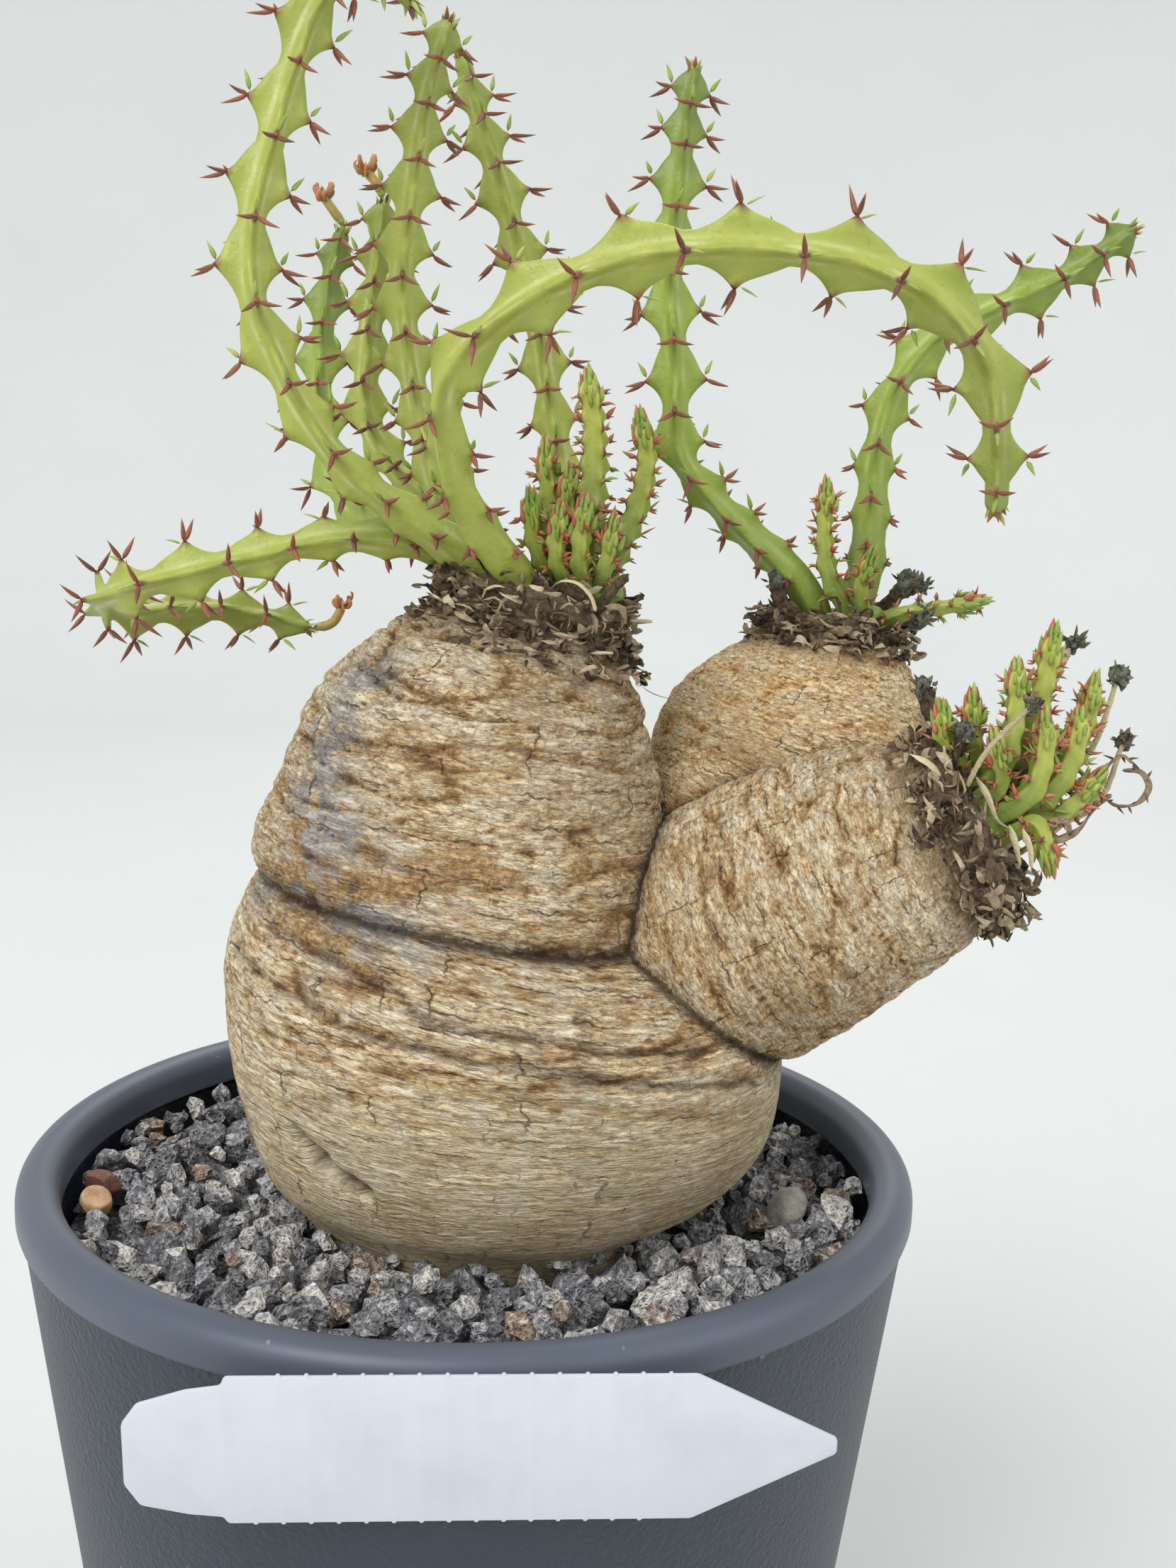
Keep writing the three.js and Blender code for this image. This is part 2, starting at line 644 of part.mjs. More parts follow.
// Path of a stem: straight down into the collar's hole, then through its own points
function stemCurve({ crown, path }) {
  const { lean, towards, height } = CROWNS[crown];
  const exit = new THREE.Vector3(...path[0]);
  const root = exit.clone().addScaledVector(leaningFrame(lean, towards).axis, STEM_OFF_CROWN - height);
  const points = [root, ...path.map((p) => new THREE.Vector3(...p))];
  return new THREE.CatmullRomCurve3(points, false, 'centripetal');
}

// Frames carried along a curve with the least turning, plus a slow twist
function carriedFrames(curve, distances, twistPerMm, startTurn) {
  const length = curve.getLength();
  const frames = [];
  let tangent = curve.getTangentAt(0);
  let side = new THREE.Vector3(1, 0, 0);
  if (Math.abs(tangent.x) > 0.8) side = new THREE.Vector3(0, 1, 0);
  side.addScaledVector(tangent, -side.dot(tangent)).normalize();
  side.applyAxisAngle(tangent, startTurn);
  let travelled = 0;
  for (const distance of distances) {
    const u = Math.min(1, distance / length);
    const next = curve.getTangentAt(u);
    side.applyQuaternion(new THREE.Quaternion().setFromUnitVectors(tangent, next));
    side.applyAxisAngle(next, twistPerMm * (distance - travelled));
    side.addScaledVector(next, -side.dot(next)).normalize();
    const up = next.clone().cross(side);
    frames.push({ at: curve.getPointAt(u), tangent: next, side: side.clone(), up });
    tangent = next;
    travelled = distance;
  }
  return frames;
}

const RIBS = 4;
const ribAngle = (i) => (i / RIBS) * 2 * Math.PI;
const around = ({ side, up }, angle) => side.clone()
  .multiplyScalar(Math.cos(angle))
  .addScaledVector(up, Math.sin(angle));

// Four rows of teeth: opposite rows level, the other two half a pitch further on
function toothRows(length, { neck, tooth, bare, growth, pitches, spine, seed }) {
  const random = randomFrom(seed);
  const [pitchBase, pitchMiddle, pitchTip] = pitches;
  const rows = [0, bare / 2, bare].map((distance) => ({ s: distance, radii: [neck, neck] }));
  let s = bare;
  let pair = 0;
  while (s < length - 2) {
    const opening = smooth(bare, bare + growth, s);
    const closing = smooth(length - TIP_LENGTH, length - 4, s);
    const { lerp } = THREE.MathUtils;
    const pitch = lerp(lerp(pitchBase, pitchMiddle, opening), pitchTip, closing);
    const step = 0.25 * pitch * (0.94 + 0.12 * random());
    const waist = neck * (1 - 0.25 * closing);
    const height = tooth * (0.3 + 0.7 * opening) * (1 - 0.3 * closing);
    const low = waist + TOOTH_ARC * height;
    const radii = pair === 0 ? [waist + height, waist] : [waist, waist + height];
    rows.push({ s: s + step, radii: [low, low] });
    const reach = s > spine.from ? spine.length * (0.5 + 0.5 * opening) : 0;
    rows.push({ s: s + 2 * step, radii, pair, spine: reach });
    s += 2 * step;
    pair = 1 - pair;
  }
  const kept = rows.filter((row) => row.s < length - 1);
  kept.push({ s: length, radii: [0.4 * neck, 0.4 * neck] });
  return kept;
}

// The skin of a toothed stem. A tooth's tip is cut back to a small lozenge, north, west,
// south and east of it, and the two halves of the lozenge are drawn out into two spines.
function toothedStem(curve, shape) {
  const rows = toothRows(curve.getLength(), shape);
  const frames = carriedFrames(curve, rows.map((row) => row.s), TWIST_PER_MM, shape.turn);
  const points = [];
  rows.forEach(({ radii }, r) => {
    for (let i = 0; i < RIBS; i += 1) {
      points.push(frames[r].at.clone().addScaledVector(around(frames[r], ribAngle(i)), radii[i % 2]));
    }
  });
  const id = (r, i) => r * RIBS + ((i + RIBS) % RIBS);
  const lozenges = new Map();
  const faces = [];
  const shifted = (from, to) => {
    const toward = points[to].clone().sub(points[from]).setLength(SPINE_ROOT);
    return points.push(points[from].clone().add(toward)) - 1;
  };
  rows.forEach((row, r) => {
    for (let i = 0; row.spine > 0 && i < RIBS; i += 1) {
      if (i % 2 !== row.pair) continue;
      const tip = id(r, i);
      const [north, south] = [shifted(tip, id(r + 1, i)), shifted(tip, id(r - 1, i))];
      const [east, west] = [shifted(tip, id(r, i + 1)), shifted(tip, id(r, i - 1))];
      const out = around(frames[r], ribAngle(i)).multiplyScalar(SPINE_OUT)
        .addScaledVector(frames[r].tangent, -SPINE_DOWN);
      const sideways = around(frames[r], ribAngle(i + 1));
      const point = (hand) => {
        const aim = out.clone().addScaledVector(sideways, hand * SPINE_ASIDE).setLength(row.spine);
        return points.push(points[tip].clone().add(aim)) - 1;
      };
      const [pointEast, pointWest] = [point(1), point(-1)];
      faces.push(south, east, pointEast, east, north, pointEast, north, south, pointEast);
      faces.push(north, west, pointWest, west, south, pointWest, south, north, pointWest);
      lozenges.set(tip, new Map([
        [id(r + 1, i), north], [id(r - 1, i), south], [id(r, i + 1), east], [id(r, i - 1), west],
      ]));
    }
  });
  for (let r = 0; r + 1 < rows.length; r += 1) {
    for (let i = 0; i < RIBS; i += 1) {
      const quad = [id(r, i), id(r, i + 1), id(r + 1, i + 1), id(r + 1, i)];
      const cut = quad.findIndex((corner) => lozenges.has(corner));
      const [corner, next, across, before] = [0, 1, 2, 3].map((k) => quad[(Math.max(cut, 0) + k) % 4]);
      if (cut < 0) {
        faces.push(corner, next, across, corner, across, before);
      } else {
        const [first, second] = [lozenges.get(corner).get(before), lozenges.get(corner).get(next)];
        faces.push(across, before, first, across, first, second, across, second, next);
      }
    }
  }
  const last = (rows.length - 1) * RIBS;
  faces.push(0, 3, 2, 0, 2, 1, last, last + 1, last + 2, last, last + 2, last + 3);
  const used = new Map();
  const positions = [];
  const compact = faces.map((index) => {
    if (!used.has(index)) {
      used.set(index, used.size);
      positions.push(...points[index].toArray());
    }
    return used.get(index);
  });
  const geometry = new THREE.BufferGeometry();
  geometry.setAttribute('position', new THREE.Float32BufferAttribute(positions, 3));
  geometry.setIndex(compact);
  return solidFrom(geometry);
}

function buildStem(stem) {
  return toothedStem(stemCurve(stem), {
    neck: NECK * (stem.thick ?? 1),
    tooth: TOOTH * (stem.thick ?? 1),
    bare: STEM_BARE,
    growth: TOOTH_GROWTH,
    pitches: stem.pitches ?? TOOTH_PITCHES,
    spine: { from: SPINES_FROM, length: SPINE_LENGTH },
    turn: stem.turn ?? 0,
    seed: stem.seed,
  });
}

// The plain hole that a stem stands in, a little wider than its bare foot
function socketFor(stem) {
  const curve = stemCurve(stem);
  const distances = [0, STEM_BARE / 2, STEM_BARE, STEM_BARE + 2];
  const frames = carriedFrames(curve, distances, TWIST_PER_MM, stem.turn ?? 0);
  const wide = NECK * (stem.thick ?? 1) + SOCKET_CLEARANCE * Math.SQRT2;
  frames[0].at.addScaledVector(frames[0].tangent, -SOCKET_CLEARANCE);
  return skin(frames.map((frame) => [0, 1, 2, 3].map((i) => (
    frame.at.clone().addScaledVector(around(frame, ribAngle(i)), wide)))));
}

// Points in a crown's own frame: across, along and above its base, in millimetres
function crownPoint({ at, lean, towards }, across, along, above) {
  const frame = leaningFrame(lean, towards);
  return new THREE.Vector3(...at)
    .addScaledVector(frame.across, across)
    .addScaledVector(frame.along, along)
    .addScaledVector(frame.axis, above);
}

function buildCollar(crown, twigs) {
  const random = randomFrom(crown.seed);
  const { radius, height, flakes } = crown;
  const ringAt = (share, above) => {
    const ring = [];
    for (let i = 0; i < COLLAR_SIDES; i += 1) {
      const angle = (i / COLLAR_SIDES) * 2 * Math.PI;
      const reach = radius * share * (0.95 + 0.1 * random());
      ring.push(crownPoint(crown, reach * Math.cos(angle), reach * Math.sin(angle), above));
    }
    return ring;
  };
  const solids = [skin(COLLAR_SHARES.map((share, i) => ringAt(share, GAP + 0.5 * i * height)))];
  for (let i = 0; i < flakes; i += 1) {
    const angle = ((i + 0.5 * random()) / flakes) * 2 * Math.PI;
    const above = between(random, [GAP + FLAKE_WIDTH, GAP + height - FLAKE_WIDTH]);
    const length = between(random, FLAKE_LENGTH);
    const rise = Math.min(above + FLAKE_RISE * random(), GAP + height - FLAKE_BELOW_TOP);
    const onCircle = (reach, turn, level) => (
      crownPoint(crown, reach * Math.cos(angle + turn), reach * Math.sin(angle + turn), level));
    const inner = onCircle(0.84 * radius, 0, above);
    const outer = onCircle(0.9 * radius + length, FLAKE_TURN, rise);
    solids.push(needle(inner, outer, FLAKE_WIDTH));
  }
  for (const { foot, path, thick, head } of twigs) {
    const start = crownPoint(crown, ...foot, GAP + 0.5 * height);
    const points = [start, ...path.map((p) => new THREE.Vector3(...p))];
    points.slice(1).forEach((to, i) => solids.push(bar(points[i], to, thick, 0.85 * thick, 4)));
    const end = path[path.length - 1];
    if (head) solids.push(buildPebble({ at: end, size: head, seed: crown.seed + end[0] }));
  }
  return join(solids);
}

// A bunch of short shoots standing in one low base on its crown
function buildBunch({ crown, base, shoots }) {
  const place = CROWNS[crown];
  const above = GAP + place.height + GAP;
  const [across, along, radius, height] = base;
  const solids = [bar(
    crownPoint(place, across, along, above),
    crownPoint(place, across, along, above + height),
    radius, BASE_TAPER * radius, 10)];
  shoots.forEach(({ foot, path, neck, tooth }, i) => {
    const start = crownPoint(place, ...foot, above + neck);
    const curve = new THREE.CatmullRomCurve3(
      [start, ...path.map((p) => new THREE.Vector3(...p))], false, 'centripetal');
    solids.push(toothedStem(curve, {
      neck,
      tooth,
      bare: SHOOT_BARE,
      growth: SHOOT_GROWTH,
      pitches: SHOOT_PITCHES,
      spine: { from: Infinity, length: 0 },
      turn: SHOOT_TURN,
      seed: i + 1,
    }));
  });
  return join(solids);
}

// The label leans back with the wall; its outline is drawn flat and stood up
function leanOnWall(geometry, height, offWall) {
  geometry.rotateX(Math.PI / 2 + Math.atan(WALL_SLOPE));
  geometry.translate(0, -(wallRadius(height) + offWall), height);
  return geometry;
}

function buildLabel() {
  const outline = new THREE.Shape(LABEL_OUTLINE.map(([x, up]) => new THREE.Vector2(x, up)));
  const geometry = new THREE.ExtrudeGeometry(outline, { depth: LABEL_THICK, bevelEnabled: false });
  return solidFrom(leanOnWall(geometry, LABEL_HEIGHT, LABEL_OFF_WALL));
}

function buildPad() {
  const [width, thick, height] = PAD_SIZE;
  const geometry = new THREE.BoxGeometry(width, height, thick);
  geometry.translate(0, 0, thick / 2);
  return solidFrom(leanOnWall(geometry, PAD_HEIGHT, GAP));
}

const plant = new THREE.Group();
const add = (name, solid, finish) => plant.add(meshFrom(solid, name, finish));

add('pot', buildPot(), finishes.pot);
add('growing_mix', buildMix(), finishes.mix);
add('lava_gravel', buildGravel(), finishes.lava);
for (const item of PEBBLES) add(item.name, buildPebble(item), finishes[item.finish]);
add('caudex', buildCaudex(), finishes.bark);

const sockets = join(STEMS.map(socketFor));
for (const [name, crown] of Object.entries(CROWNS)) {
  add(`collar_${name}`, buildCollar(crown, TWIGS[name]).subtract(sockets), finishes.deadBark);
}
for (const stem of STEMS) add(stem.name, buildStem(stem), finishes.stem);
for (const bunch of BUNCHES) add(bunch.name, buildBunch(bunch), finishes.shoot);

add('plant_label', buildLabel(), finishes.label);
add('label_pad', buildPad(), finishes.pad);

export default plant;
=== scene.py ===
# %% [markdown]
# A potted euphorbia decidua, dressed for its portrait. The solids of the plant come in as a
# fixed frame: pot, gravel, a swollen caudex with three crowns, long toothed stems, short
# shoots and a blank label. Each cell below makes one piece or one finish in millimetres, then
# scales it to metres where the solid stands. The looks of such a plant are in its surfaces:
# cork that wrinkles like a stocking, ribs with horned teeth, crumbling dead bark, sharp lava.

# %% Load the frame
import math

import bmesh
import bpy
import numpy as np
from mathutils import Matrix, Vector, noise


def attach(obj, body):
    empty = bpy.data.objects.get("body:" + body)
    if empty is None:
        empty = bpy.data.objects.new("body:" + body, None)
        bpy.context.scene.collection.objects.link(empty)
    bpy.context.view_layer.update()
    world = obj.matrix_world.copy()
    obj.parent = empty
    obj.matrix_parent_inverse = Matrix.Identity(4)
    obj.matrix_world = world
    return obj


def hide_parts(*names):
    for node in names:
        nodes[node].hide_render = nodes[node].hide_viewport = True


MM = 0.001


def new_object(name, data):
    made = bpy.data.objects.new(name, data)
    bpy.context.scene.collection.objects.link(made)
    return made


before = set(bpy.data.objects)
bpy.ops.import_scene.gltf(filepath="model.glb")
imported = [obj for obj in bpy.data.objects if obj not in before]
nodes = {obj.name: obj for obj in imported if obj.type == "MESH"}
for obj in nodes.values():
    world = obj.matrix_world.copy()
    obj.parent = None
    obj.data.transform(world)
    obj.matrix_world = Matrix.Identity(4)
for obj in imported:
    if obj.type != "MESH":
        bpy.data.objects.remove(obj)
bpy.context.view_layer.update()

# %% [markdown]
# The camera stands a hand's width above the crown of the pot and looks slightly down. Its
# three angles give the three axes of the view directly, so no tracking constraint is needed.
# The lens is given for the 36 mm long side, which is the upright one here.

# %% Camera
CAMERA_AT = (0, -0.22728, 0.20273)
CAMERA_LENS = 39.83
YAW, PITCH, ROLL = math.radians(3.70), math.radians(10.095), math.radians(1.553)


def camera_axes():
    ahead = Vector((math.sin(YAW) * math.cos(PITCH), math.cos(YAW) * math.cos(PITCH), -math.sin(PITCH)))
    level = Vector((math.cos(YAW), -math.sin(YAW), 0))
    up = level.cross(ahead)
    right = level * math.cos(ROLL) + up * math.sin(ROLL)
    return Matrix((right, ahead.cross(right) * -1, -ahead)).transposed()


lens = bpy.data.cameras.new("portrait_lens")
lens.lens = CAMERA_LENS
lens.sensor_width = 36
lens.clip_start = 0.01
camera = new_object("portrait_camera", lens)
camera.matrix_world = Matrix.Translation(CAMERA_AT) @ camera_axes().to_4x4()
bpy.context.scene.camera = camera
print("camera looks along", [round(c, 3) for c in -camera.matrix_world.col[2].xyz])

# %% [markdown]
# Materials are trees of nodes, and small helpers keep them readable. One places a node and
# fills its sockets; the others do sums, noise, ramps and mixes. Colours are written as they
# look on a screen, from 0 to 255, and turned into the linear light that shaders work in.


# %% Helpers for materials
def paint(red, green, blue):
    channels = [c / 255 for c in (red, green, blue)]
    return (*[c / 12.92 if c <= 0.04045 else ((c + 0.055) / 1.055) ** 2.4 for c in channels], 1)


def place(tree, kind, inputs=None, **settings):
    node = tree.nodes.new("ShaderNode" + kind)
    for name, value in settings.items():
        setattr(node, name, value)
    for name, value in (inputs or {}).items():
        if isinstance(value, bpy.types.NodeSocket):
            tree.links.new(value, node.inputs[name])
        else:
            node.inputs[name].default_value = value
    return node


def ramp(tree, factor, *stops):
    """A colour ramp; each stop is a position with the red, green and blue of a screen."""
    node = place(tree, "ValToRGB", {"Fac": factor})
    elements = node.color_ramp.elements
    while len(elements) < len(stops):
        elements.new(1)
    for element, (position, *colour) in zip(elements, stops):
        element.position = position
        element.color = paint(*colour)
    return node.outputs["Color"]


def mix(tree, factor, a, b, blend="MIX"):
    """Two colours in one; a colour is a socket, three values of a screen or four of light."""
    a, b = (paint(*c) if isinstance(c, tuple) and len(c) == 3 else c for c in (a, b))
    node = place(tree, "Mix", {0: factor, 6: a, 7: b}, data_type="RGBA", blend_type=blend)
    return node.outputs[2]


def math_node(tree, operation, a, b=0.0, clamp=False):
    node = place(tree, "Math", {0: a, 1: b}, operation=operation, use_clamp=clamp)
    return node.outputs["Value"]


def times(tree, a, b, clamp=False):
    return math_node(tree, "MULTIPLY", a, b, clamp)


def plus(tree, a, b):
    return math_node(tree, "ADD", a, b)


def minus(tree, a, b):
    return math_node(tree, "SUBTRACT", a, b)


def vector_node(tree, operation, a, b):
    return place(tree, "VectorMath", {0: a, 1: b}, operation=operation).outputs["Vector"]


def stretch(tree, vector, x, y, z):
    return vector_node(tree, "MULTIPLY", vector, (x, y, z))


def map_range(tree, value, low=0.0, high=1.0, to_low=0.0, to_high=1.0):
    inputs = {"Value": value, "From Min": low, "From Max": high, "To Min": to_low, "To Max": to_high}
    return place(tree, "MapRange", inputs).outputs["Result"]


def noise_map(tree, vector, scale, detail, roughness=0.5, distortion=0.0):
    inputs = {"Vector": vector, "Scale": scale, "Detail": detail, "Roughness": roughness,
              "Distortion": distortion}
    return place(tree, "TexNoise", inputs).outputs["Fac"]


def attribute(tree, name, output="Fac"):
    return place(tree, "Attribute", attribute_name=name).outputs[output]


def object_mm(tree):
    """Object coordinates in millimetres, so that the scales below are real sizes."""
    place_in_metres = place(tree, "TexCoord").outputs["Object"]
    return stretch(tree, place_in_metres, 1 / MM, 1 / MM, 1 / MM)


def new_material(name, roughness, specular):
    material = bpy.data.materials.new(name)
    material.use_nodes = True
    shader = material.node_tree.nodes["Principled BSDF"]
    shader.inputs["Roughness"].default_value = roughness
    shader.inputs["Specular IOR Level"].default_value = specular
    return material, material.node_tree, shader


def dress(tree, shader, colour, height=None, depth_mm=0.0):
    """Ties a colour to the shader and, where there is one, a relief of this depth."""
    tree.links.new(colour, shader.inputs["Base Color"])
    if height is not None:
        inputs = {"Height": height, "Distance": depth_mm * MM, "Strength": 1.0}
        tree.links.new(place(tree, "Bump", inputs).outputs["Normal"], shader.inputs["Normal"])


# %% [markdown]
# Three effects come back in several finishes, so each is a group of nodes, built once.
# Blotches are soft patches between 0 and 1. Ticks are short cuts along or across a grain that
# runs round an upright axis. Pores are round pits of two sizes. Sizes are in millimetres.

# %% Shared node groups
GRAIN_RADIUS = 24
PORE_SIZES = ((1.0, 1.0), (0.38, 0.6))


def new_group(name, inputs, output):
    """A group with one output. An input is a number where it has a value, else a vector."""
    group = bpy.data.node_groups.new(name, "ShaderNodeTree")
    for socket, value in inputs.items():
        kind = "NodeSocketVector" if value is None else "NodeSocketFloat"
        made = group.interface.new_socket(name=socket, in_out="INPUT", socket_type=kind)
        if value is not None:
            made.default_value = value
    group.interface.new_socket(name=output, in_out="OUTPUT", socket_type="NodeSocketFloat")
    entry = group.nodes.new("NodeGroupInput").outputs
    leave = group.nodes.new("NodeGroupOutput").inputs
    return group, entry, leave


def blotch_group():
    inputs = {"Vector": None, "Width": 5.0, "Detail": 3.0, "Low": 0.4, "High": 0.6}
    group, entry, leave = new_group("Blotches", inputs, "Mask")
    scale = math_node(group, "DIVIDE", 1.0, entry["Width"])
    patches = noise_map(group, entry["Vector"], scale, entry["Detail"], 0.6)
    group.links.new(map_range(group, patches, entry["Low"], entry["High"]), leave["Mask"])
    return group


def tick_group():
    """Short cuts in a grain that runs round an upright axis: one in some of the cells."""
    inputs = {"Vector": None, "Spread": 3.0, "Tall": 3.0, "Width": 0.1, "Length": 1.5, "Share": 0.5,
              "Waver": 0.6}
    group, entry, leave = new_group("Ticks", inputs, "Mask")
    waver = place(group, "TexNoise", {"Vector": entry["Vector"], "Scale": 0.7, "Detail": 3})
    off = vector_node(group, "SUBTRACT", waver.outputs["Color"], (0.5, 0.5, 0.5))
    push = place(group, "VectorMath", {0: off, "Scale": entry["Waver"]}, operation="SCALE")
    moved = vector_node(group, "ADD", entry["Vector"], push.outputs["Vector"])
    size = place(group, "CombineXYZ", {"X": entry["Spread"], "Y": entry["Spread"], "Z": entry["Tall"]})
    scaled = vector_node(group, "DIVIDE", moved, size.outputs[0])
    cells = place(group, "TexVoronoi", {"Vector": scaled, "Scale": 1.0})
    middle = vector_node(group, "MULTIPLY", cells.outputs["Position"], size.outputs[0])
    here, there = (place(group, "SeparateXYZ", {0: point}).outputs for point in (moved, middle))
    turned = minus(group, times(group, here["X"], there["Y"]), times(group, here["Y"], there["X"]))
    aside = math_node(group, "DIVIDE", math_node(group, "ABSOLUTE", turned), float(GRAIN_RADIUS))
    along = math_node(group, "ABSOLUTE", minus(group, here["Z"], there["Z"]))
    limits = [map_range(group, distance, times(group, entry[name], 0.35), entry[name], 1.0, 0.0)
              for distance, name in ((aside, "Width"), (along, "Length"))]
    chance = place(group, "SeparateColor", {0: cells.outputs["Color"]}).outputs["Red"]
    chosen = math_node(group, "LESS_THAN", chance, entry["Share"])
    group.links.new(times(group, times(group, *limits), chosen), leave["Mask"])
    return group


def pore_group():
    group, entry, leave = new_group("Pores", {"Vector": None, "Pit": 1.0}, "Depth")
    pits = []
    for share, weight in PORE_SIZES:
        scale = math_node(group, "DIVIDE", 1.0 / share, entry["Pit"])
        cells = place(group, "TexVoronoi", {"Vector": entry["Vector"], "Scale": scale})
        pits.append(map_range(group, cells.outputs["Distance"], 0.12, 0.42, weight, 0.0))
    group.links.new(plus(group, *pits), leave["Depth"])
    return group


BLOTCHES, TICKS, PORES = blotch_group(), tick_group(), pore_group()


def use_group(tree, group, **inputs):
    return place(tree, "Group", inputs, node_tree=group).outputs[0]


def blotches(tree, vector, width, low=0.4, high=0.6, detail=3.0):
    return use_group(tree, BLOTCHES, Vector=vector, Width=width, Low=low, High=high, Detail=detail)


print("groups:", [group.name for group in (BLOTCHES, TICKS, PORES)])

# %% [markdown]
# Every shape starts as a bmesh. These helpers spin a profile once round, weld and soften
# points, make an object of the bmesh, and take a copy of an object with its modifiers applied.


# %% Helpers for bmeshes
def spun(profile, steps):
    """A bmesh of a profile of distances and heights, spun once round the upright axis."""
    bm = bmesh.new()
    line = [bm.verts.new((x, 0, z)) for x, z in profile]
    edges = [bm.edges.new(pair) for pair in zip(line, line[1:])]
    bmesh.ops.spin(bm, geom=line + edges, cent=(0, 0, 0), axis=(0, 0, 1), angle=2 * math.pi,
                   steps=steps, use_merge=True)
    return bm


def weld(bm, verts, distance=1e-3):
    bmesh.ops.remove_doubles(bm, verts=verts, dist=distance)


def soften(bm, verts, rounds=1):
    for _ in range(rounds):
        bmesh.ops.smooth_vert(bm, verts=verts, factor=0.5, use_axis_x=True, use_axis_y=True,
                              use_axis_z=True)


def object_from(bm, name):
    mesh = bpy.data.meshes.new(name)
    bm.to_mesh(mesh)
    bm.free()
    return new_object(name, mesh)


def modified_mesh(piece):
    graph = bpy.context.evaluated_depsgraph_get()
    return bpy.data.meshes.new_from_object(piece.evaluated_get(graph))


# %% [markdown]
# The plant stands on a plain pale floor whose rim sweeps up into a wall all round, so there is
# no horizon from any side. A short profile, spun once round, makes it. The light is soft: one
# large panel high on the left in front, a weak one on the right, one behind, and a pale sky.

# %% Stage and light
COVE_RADIUS, COVE_BEND, COVE_HEIGHT = 1.9, 0.7, 2.4
COVE_PAINT = (209, 211, 210), (214, 215, 213)
# Where each panel stands and how wide it is, in metres, and its watts
PANELS = {
    "key_panel": ((-0.85, -1.15, 1.55), 1.3, 30),
    "fill_panel": ((1.25, -0.7, 0.9), 1.4, 7),
    "back_panel": ((0.3, 1.2, 1.5), 1.2, 10.5),
}
LIT_SPOT = (0.01, 0, 0.14)
SKY_COLOUR, SKY_STRENGTH = (236, 242, 246), 0.71


def build_cove():
    profile = [(0, 0)]
    for step in range(13):
        angle = math.radians(90 * step / 12)
        profile.append((COVE_RADIUS - COVE_BEND + COVE_BEND * math.sin(angle),
                        COVE_BEND * (1 - math.cos(angle))))
    bm = spun([*profile, (COVE_RADIUS, COVE_HEIGHT)], 96)
    weld(bm, bm.verts, 1e-5)
    for face in bm.faces:
        face.smooth = True
    return object_from(bm, "studio_cove")


def area_light(name, at, size, watts):
    light = bpy.data.lights.new(name, "AREA")
    light.shape = "DISK"
    light.size = size
    light.energy = watts
    lamp = new_object(name, light)
    lamp.location = at
    aim = Vector(LIT_SPOT) - Vector(at)
    lamp.rotation_euler = aim.to_track_quat("-Z", "Y").to_euler()


cove = build_cove()
chalk, tree, shader = new_material("pale_studio_paint", 0.95, 0.1)
wash = blotches(tree, place(tree, "TexCoord").outputs["Object"], 0.5, 0.3, 0.7)
dress(tree, shader, mix(tree, wash, *COVE_PAINT))
cove.data.materials.append(chalk)

for name, panel in PANELS.items():
    area_light(name, *panel)
sky = bpy.data.worlds.new("pale_sky")
sky.use_nodes = True
sky.node_tree.nodes["Background"].inputs["Color"].default_value = paint(*SKY_COLOUR)
sky.node_tree.nodes["Background"].inputs["Strength"].default_value = SKY_STRENGTH
bpy.context.scene.world = sky
bpy.context.scene.view_settings.view_transform = "Standard"
print("cove faces:", len(cove.data.polygons))

# %% [markdown]
# Every grown piece here is drawn from two shapes. One is a flat grid rolled into a tube: its
# rows become rings, its seam is welded, and end rings of no width close into poles. The other
# is a small ball pushed out of round. Both start as a bmesh operator and stay in millimetres
# until a piece is finished, which scales it, gives it its finish and ties it to the frame.


# %% Helpers for shapes
def smooth_step(low, high, value):
    t = np.clip((value - low) / (high - low), 0, 1)
    return t * t * (3 - 2 * t)


def bell(distance, width):
    """One in the middle, fading to nothing a few widths away."""
    return np.exp(-(distance / width) ** 2)


def unit(vector):
    return vector / np.linalg.norm(vector)


def once_round(count):
    """This many angles at even steps once round."""
    return np.arange(count) / count * 2 * math.pi


def rolled_tube(bm, rings):
    """A closed tube through rings of points; rings is an array of rows, sides and x y z."""
    rows, sides = rings.shape[:2]
    grid = bmesh.ops.create_grid(bm, x_segments=sides, y_segments=rows - 1, size=1)["verts"]
    places = np.concatenate([rings, rings[:, :1]], axis=1).reshape(-1, 3)
    for vertex, point in zip(grid, places):
        vertex.co = point
    return grid


def finish_piece(bm, name, material, slot, replaced, flat_angle=None):
    """Makes a piece in metres of a bmesh; edges sharper than flat_angle stay sharp."""
    bmesh.ops.recalc_face_normals(bm, faces=bm.faces)
    for face in bm.faces:
        face.smooth = True
    if flat_angle is not None:
        for edge in bm.edges:
            edge.smooth = edge.calc_face_angle(0.0) < math.radians(flat_angle)
    bmesh.ops.scale(bm, vec=(MM, MM, MM), verts=bm.verts)
    piece = object_from(bm, name)
    piece.data.materials.append(material)
    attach(piece, "root")
    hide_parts(*replaced)
    print(name, "triangles:", sum(len(polygon.vertices) - 2 for polygon in piece.data.polygons))
    return piece


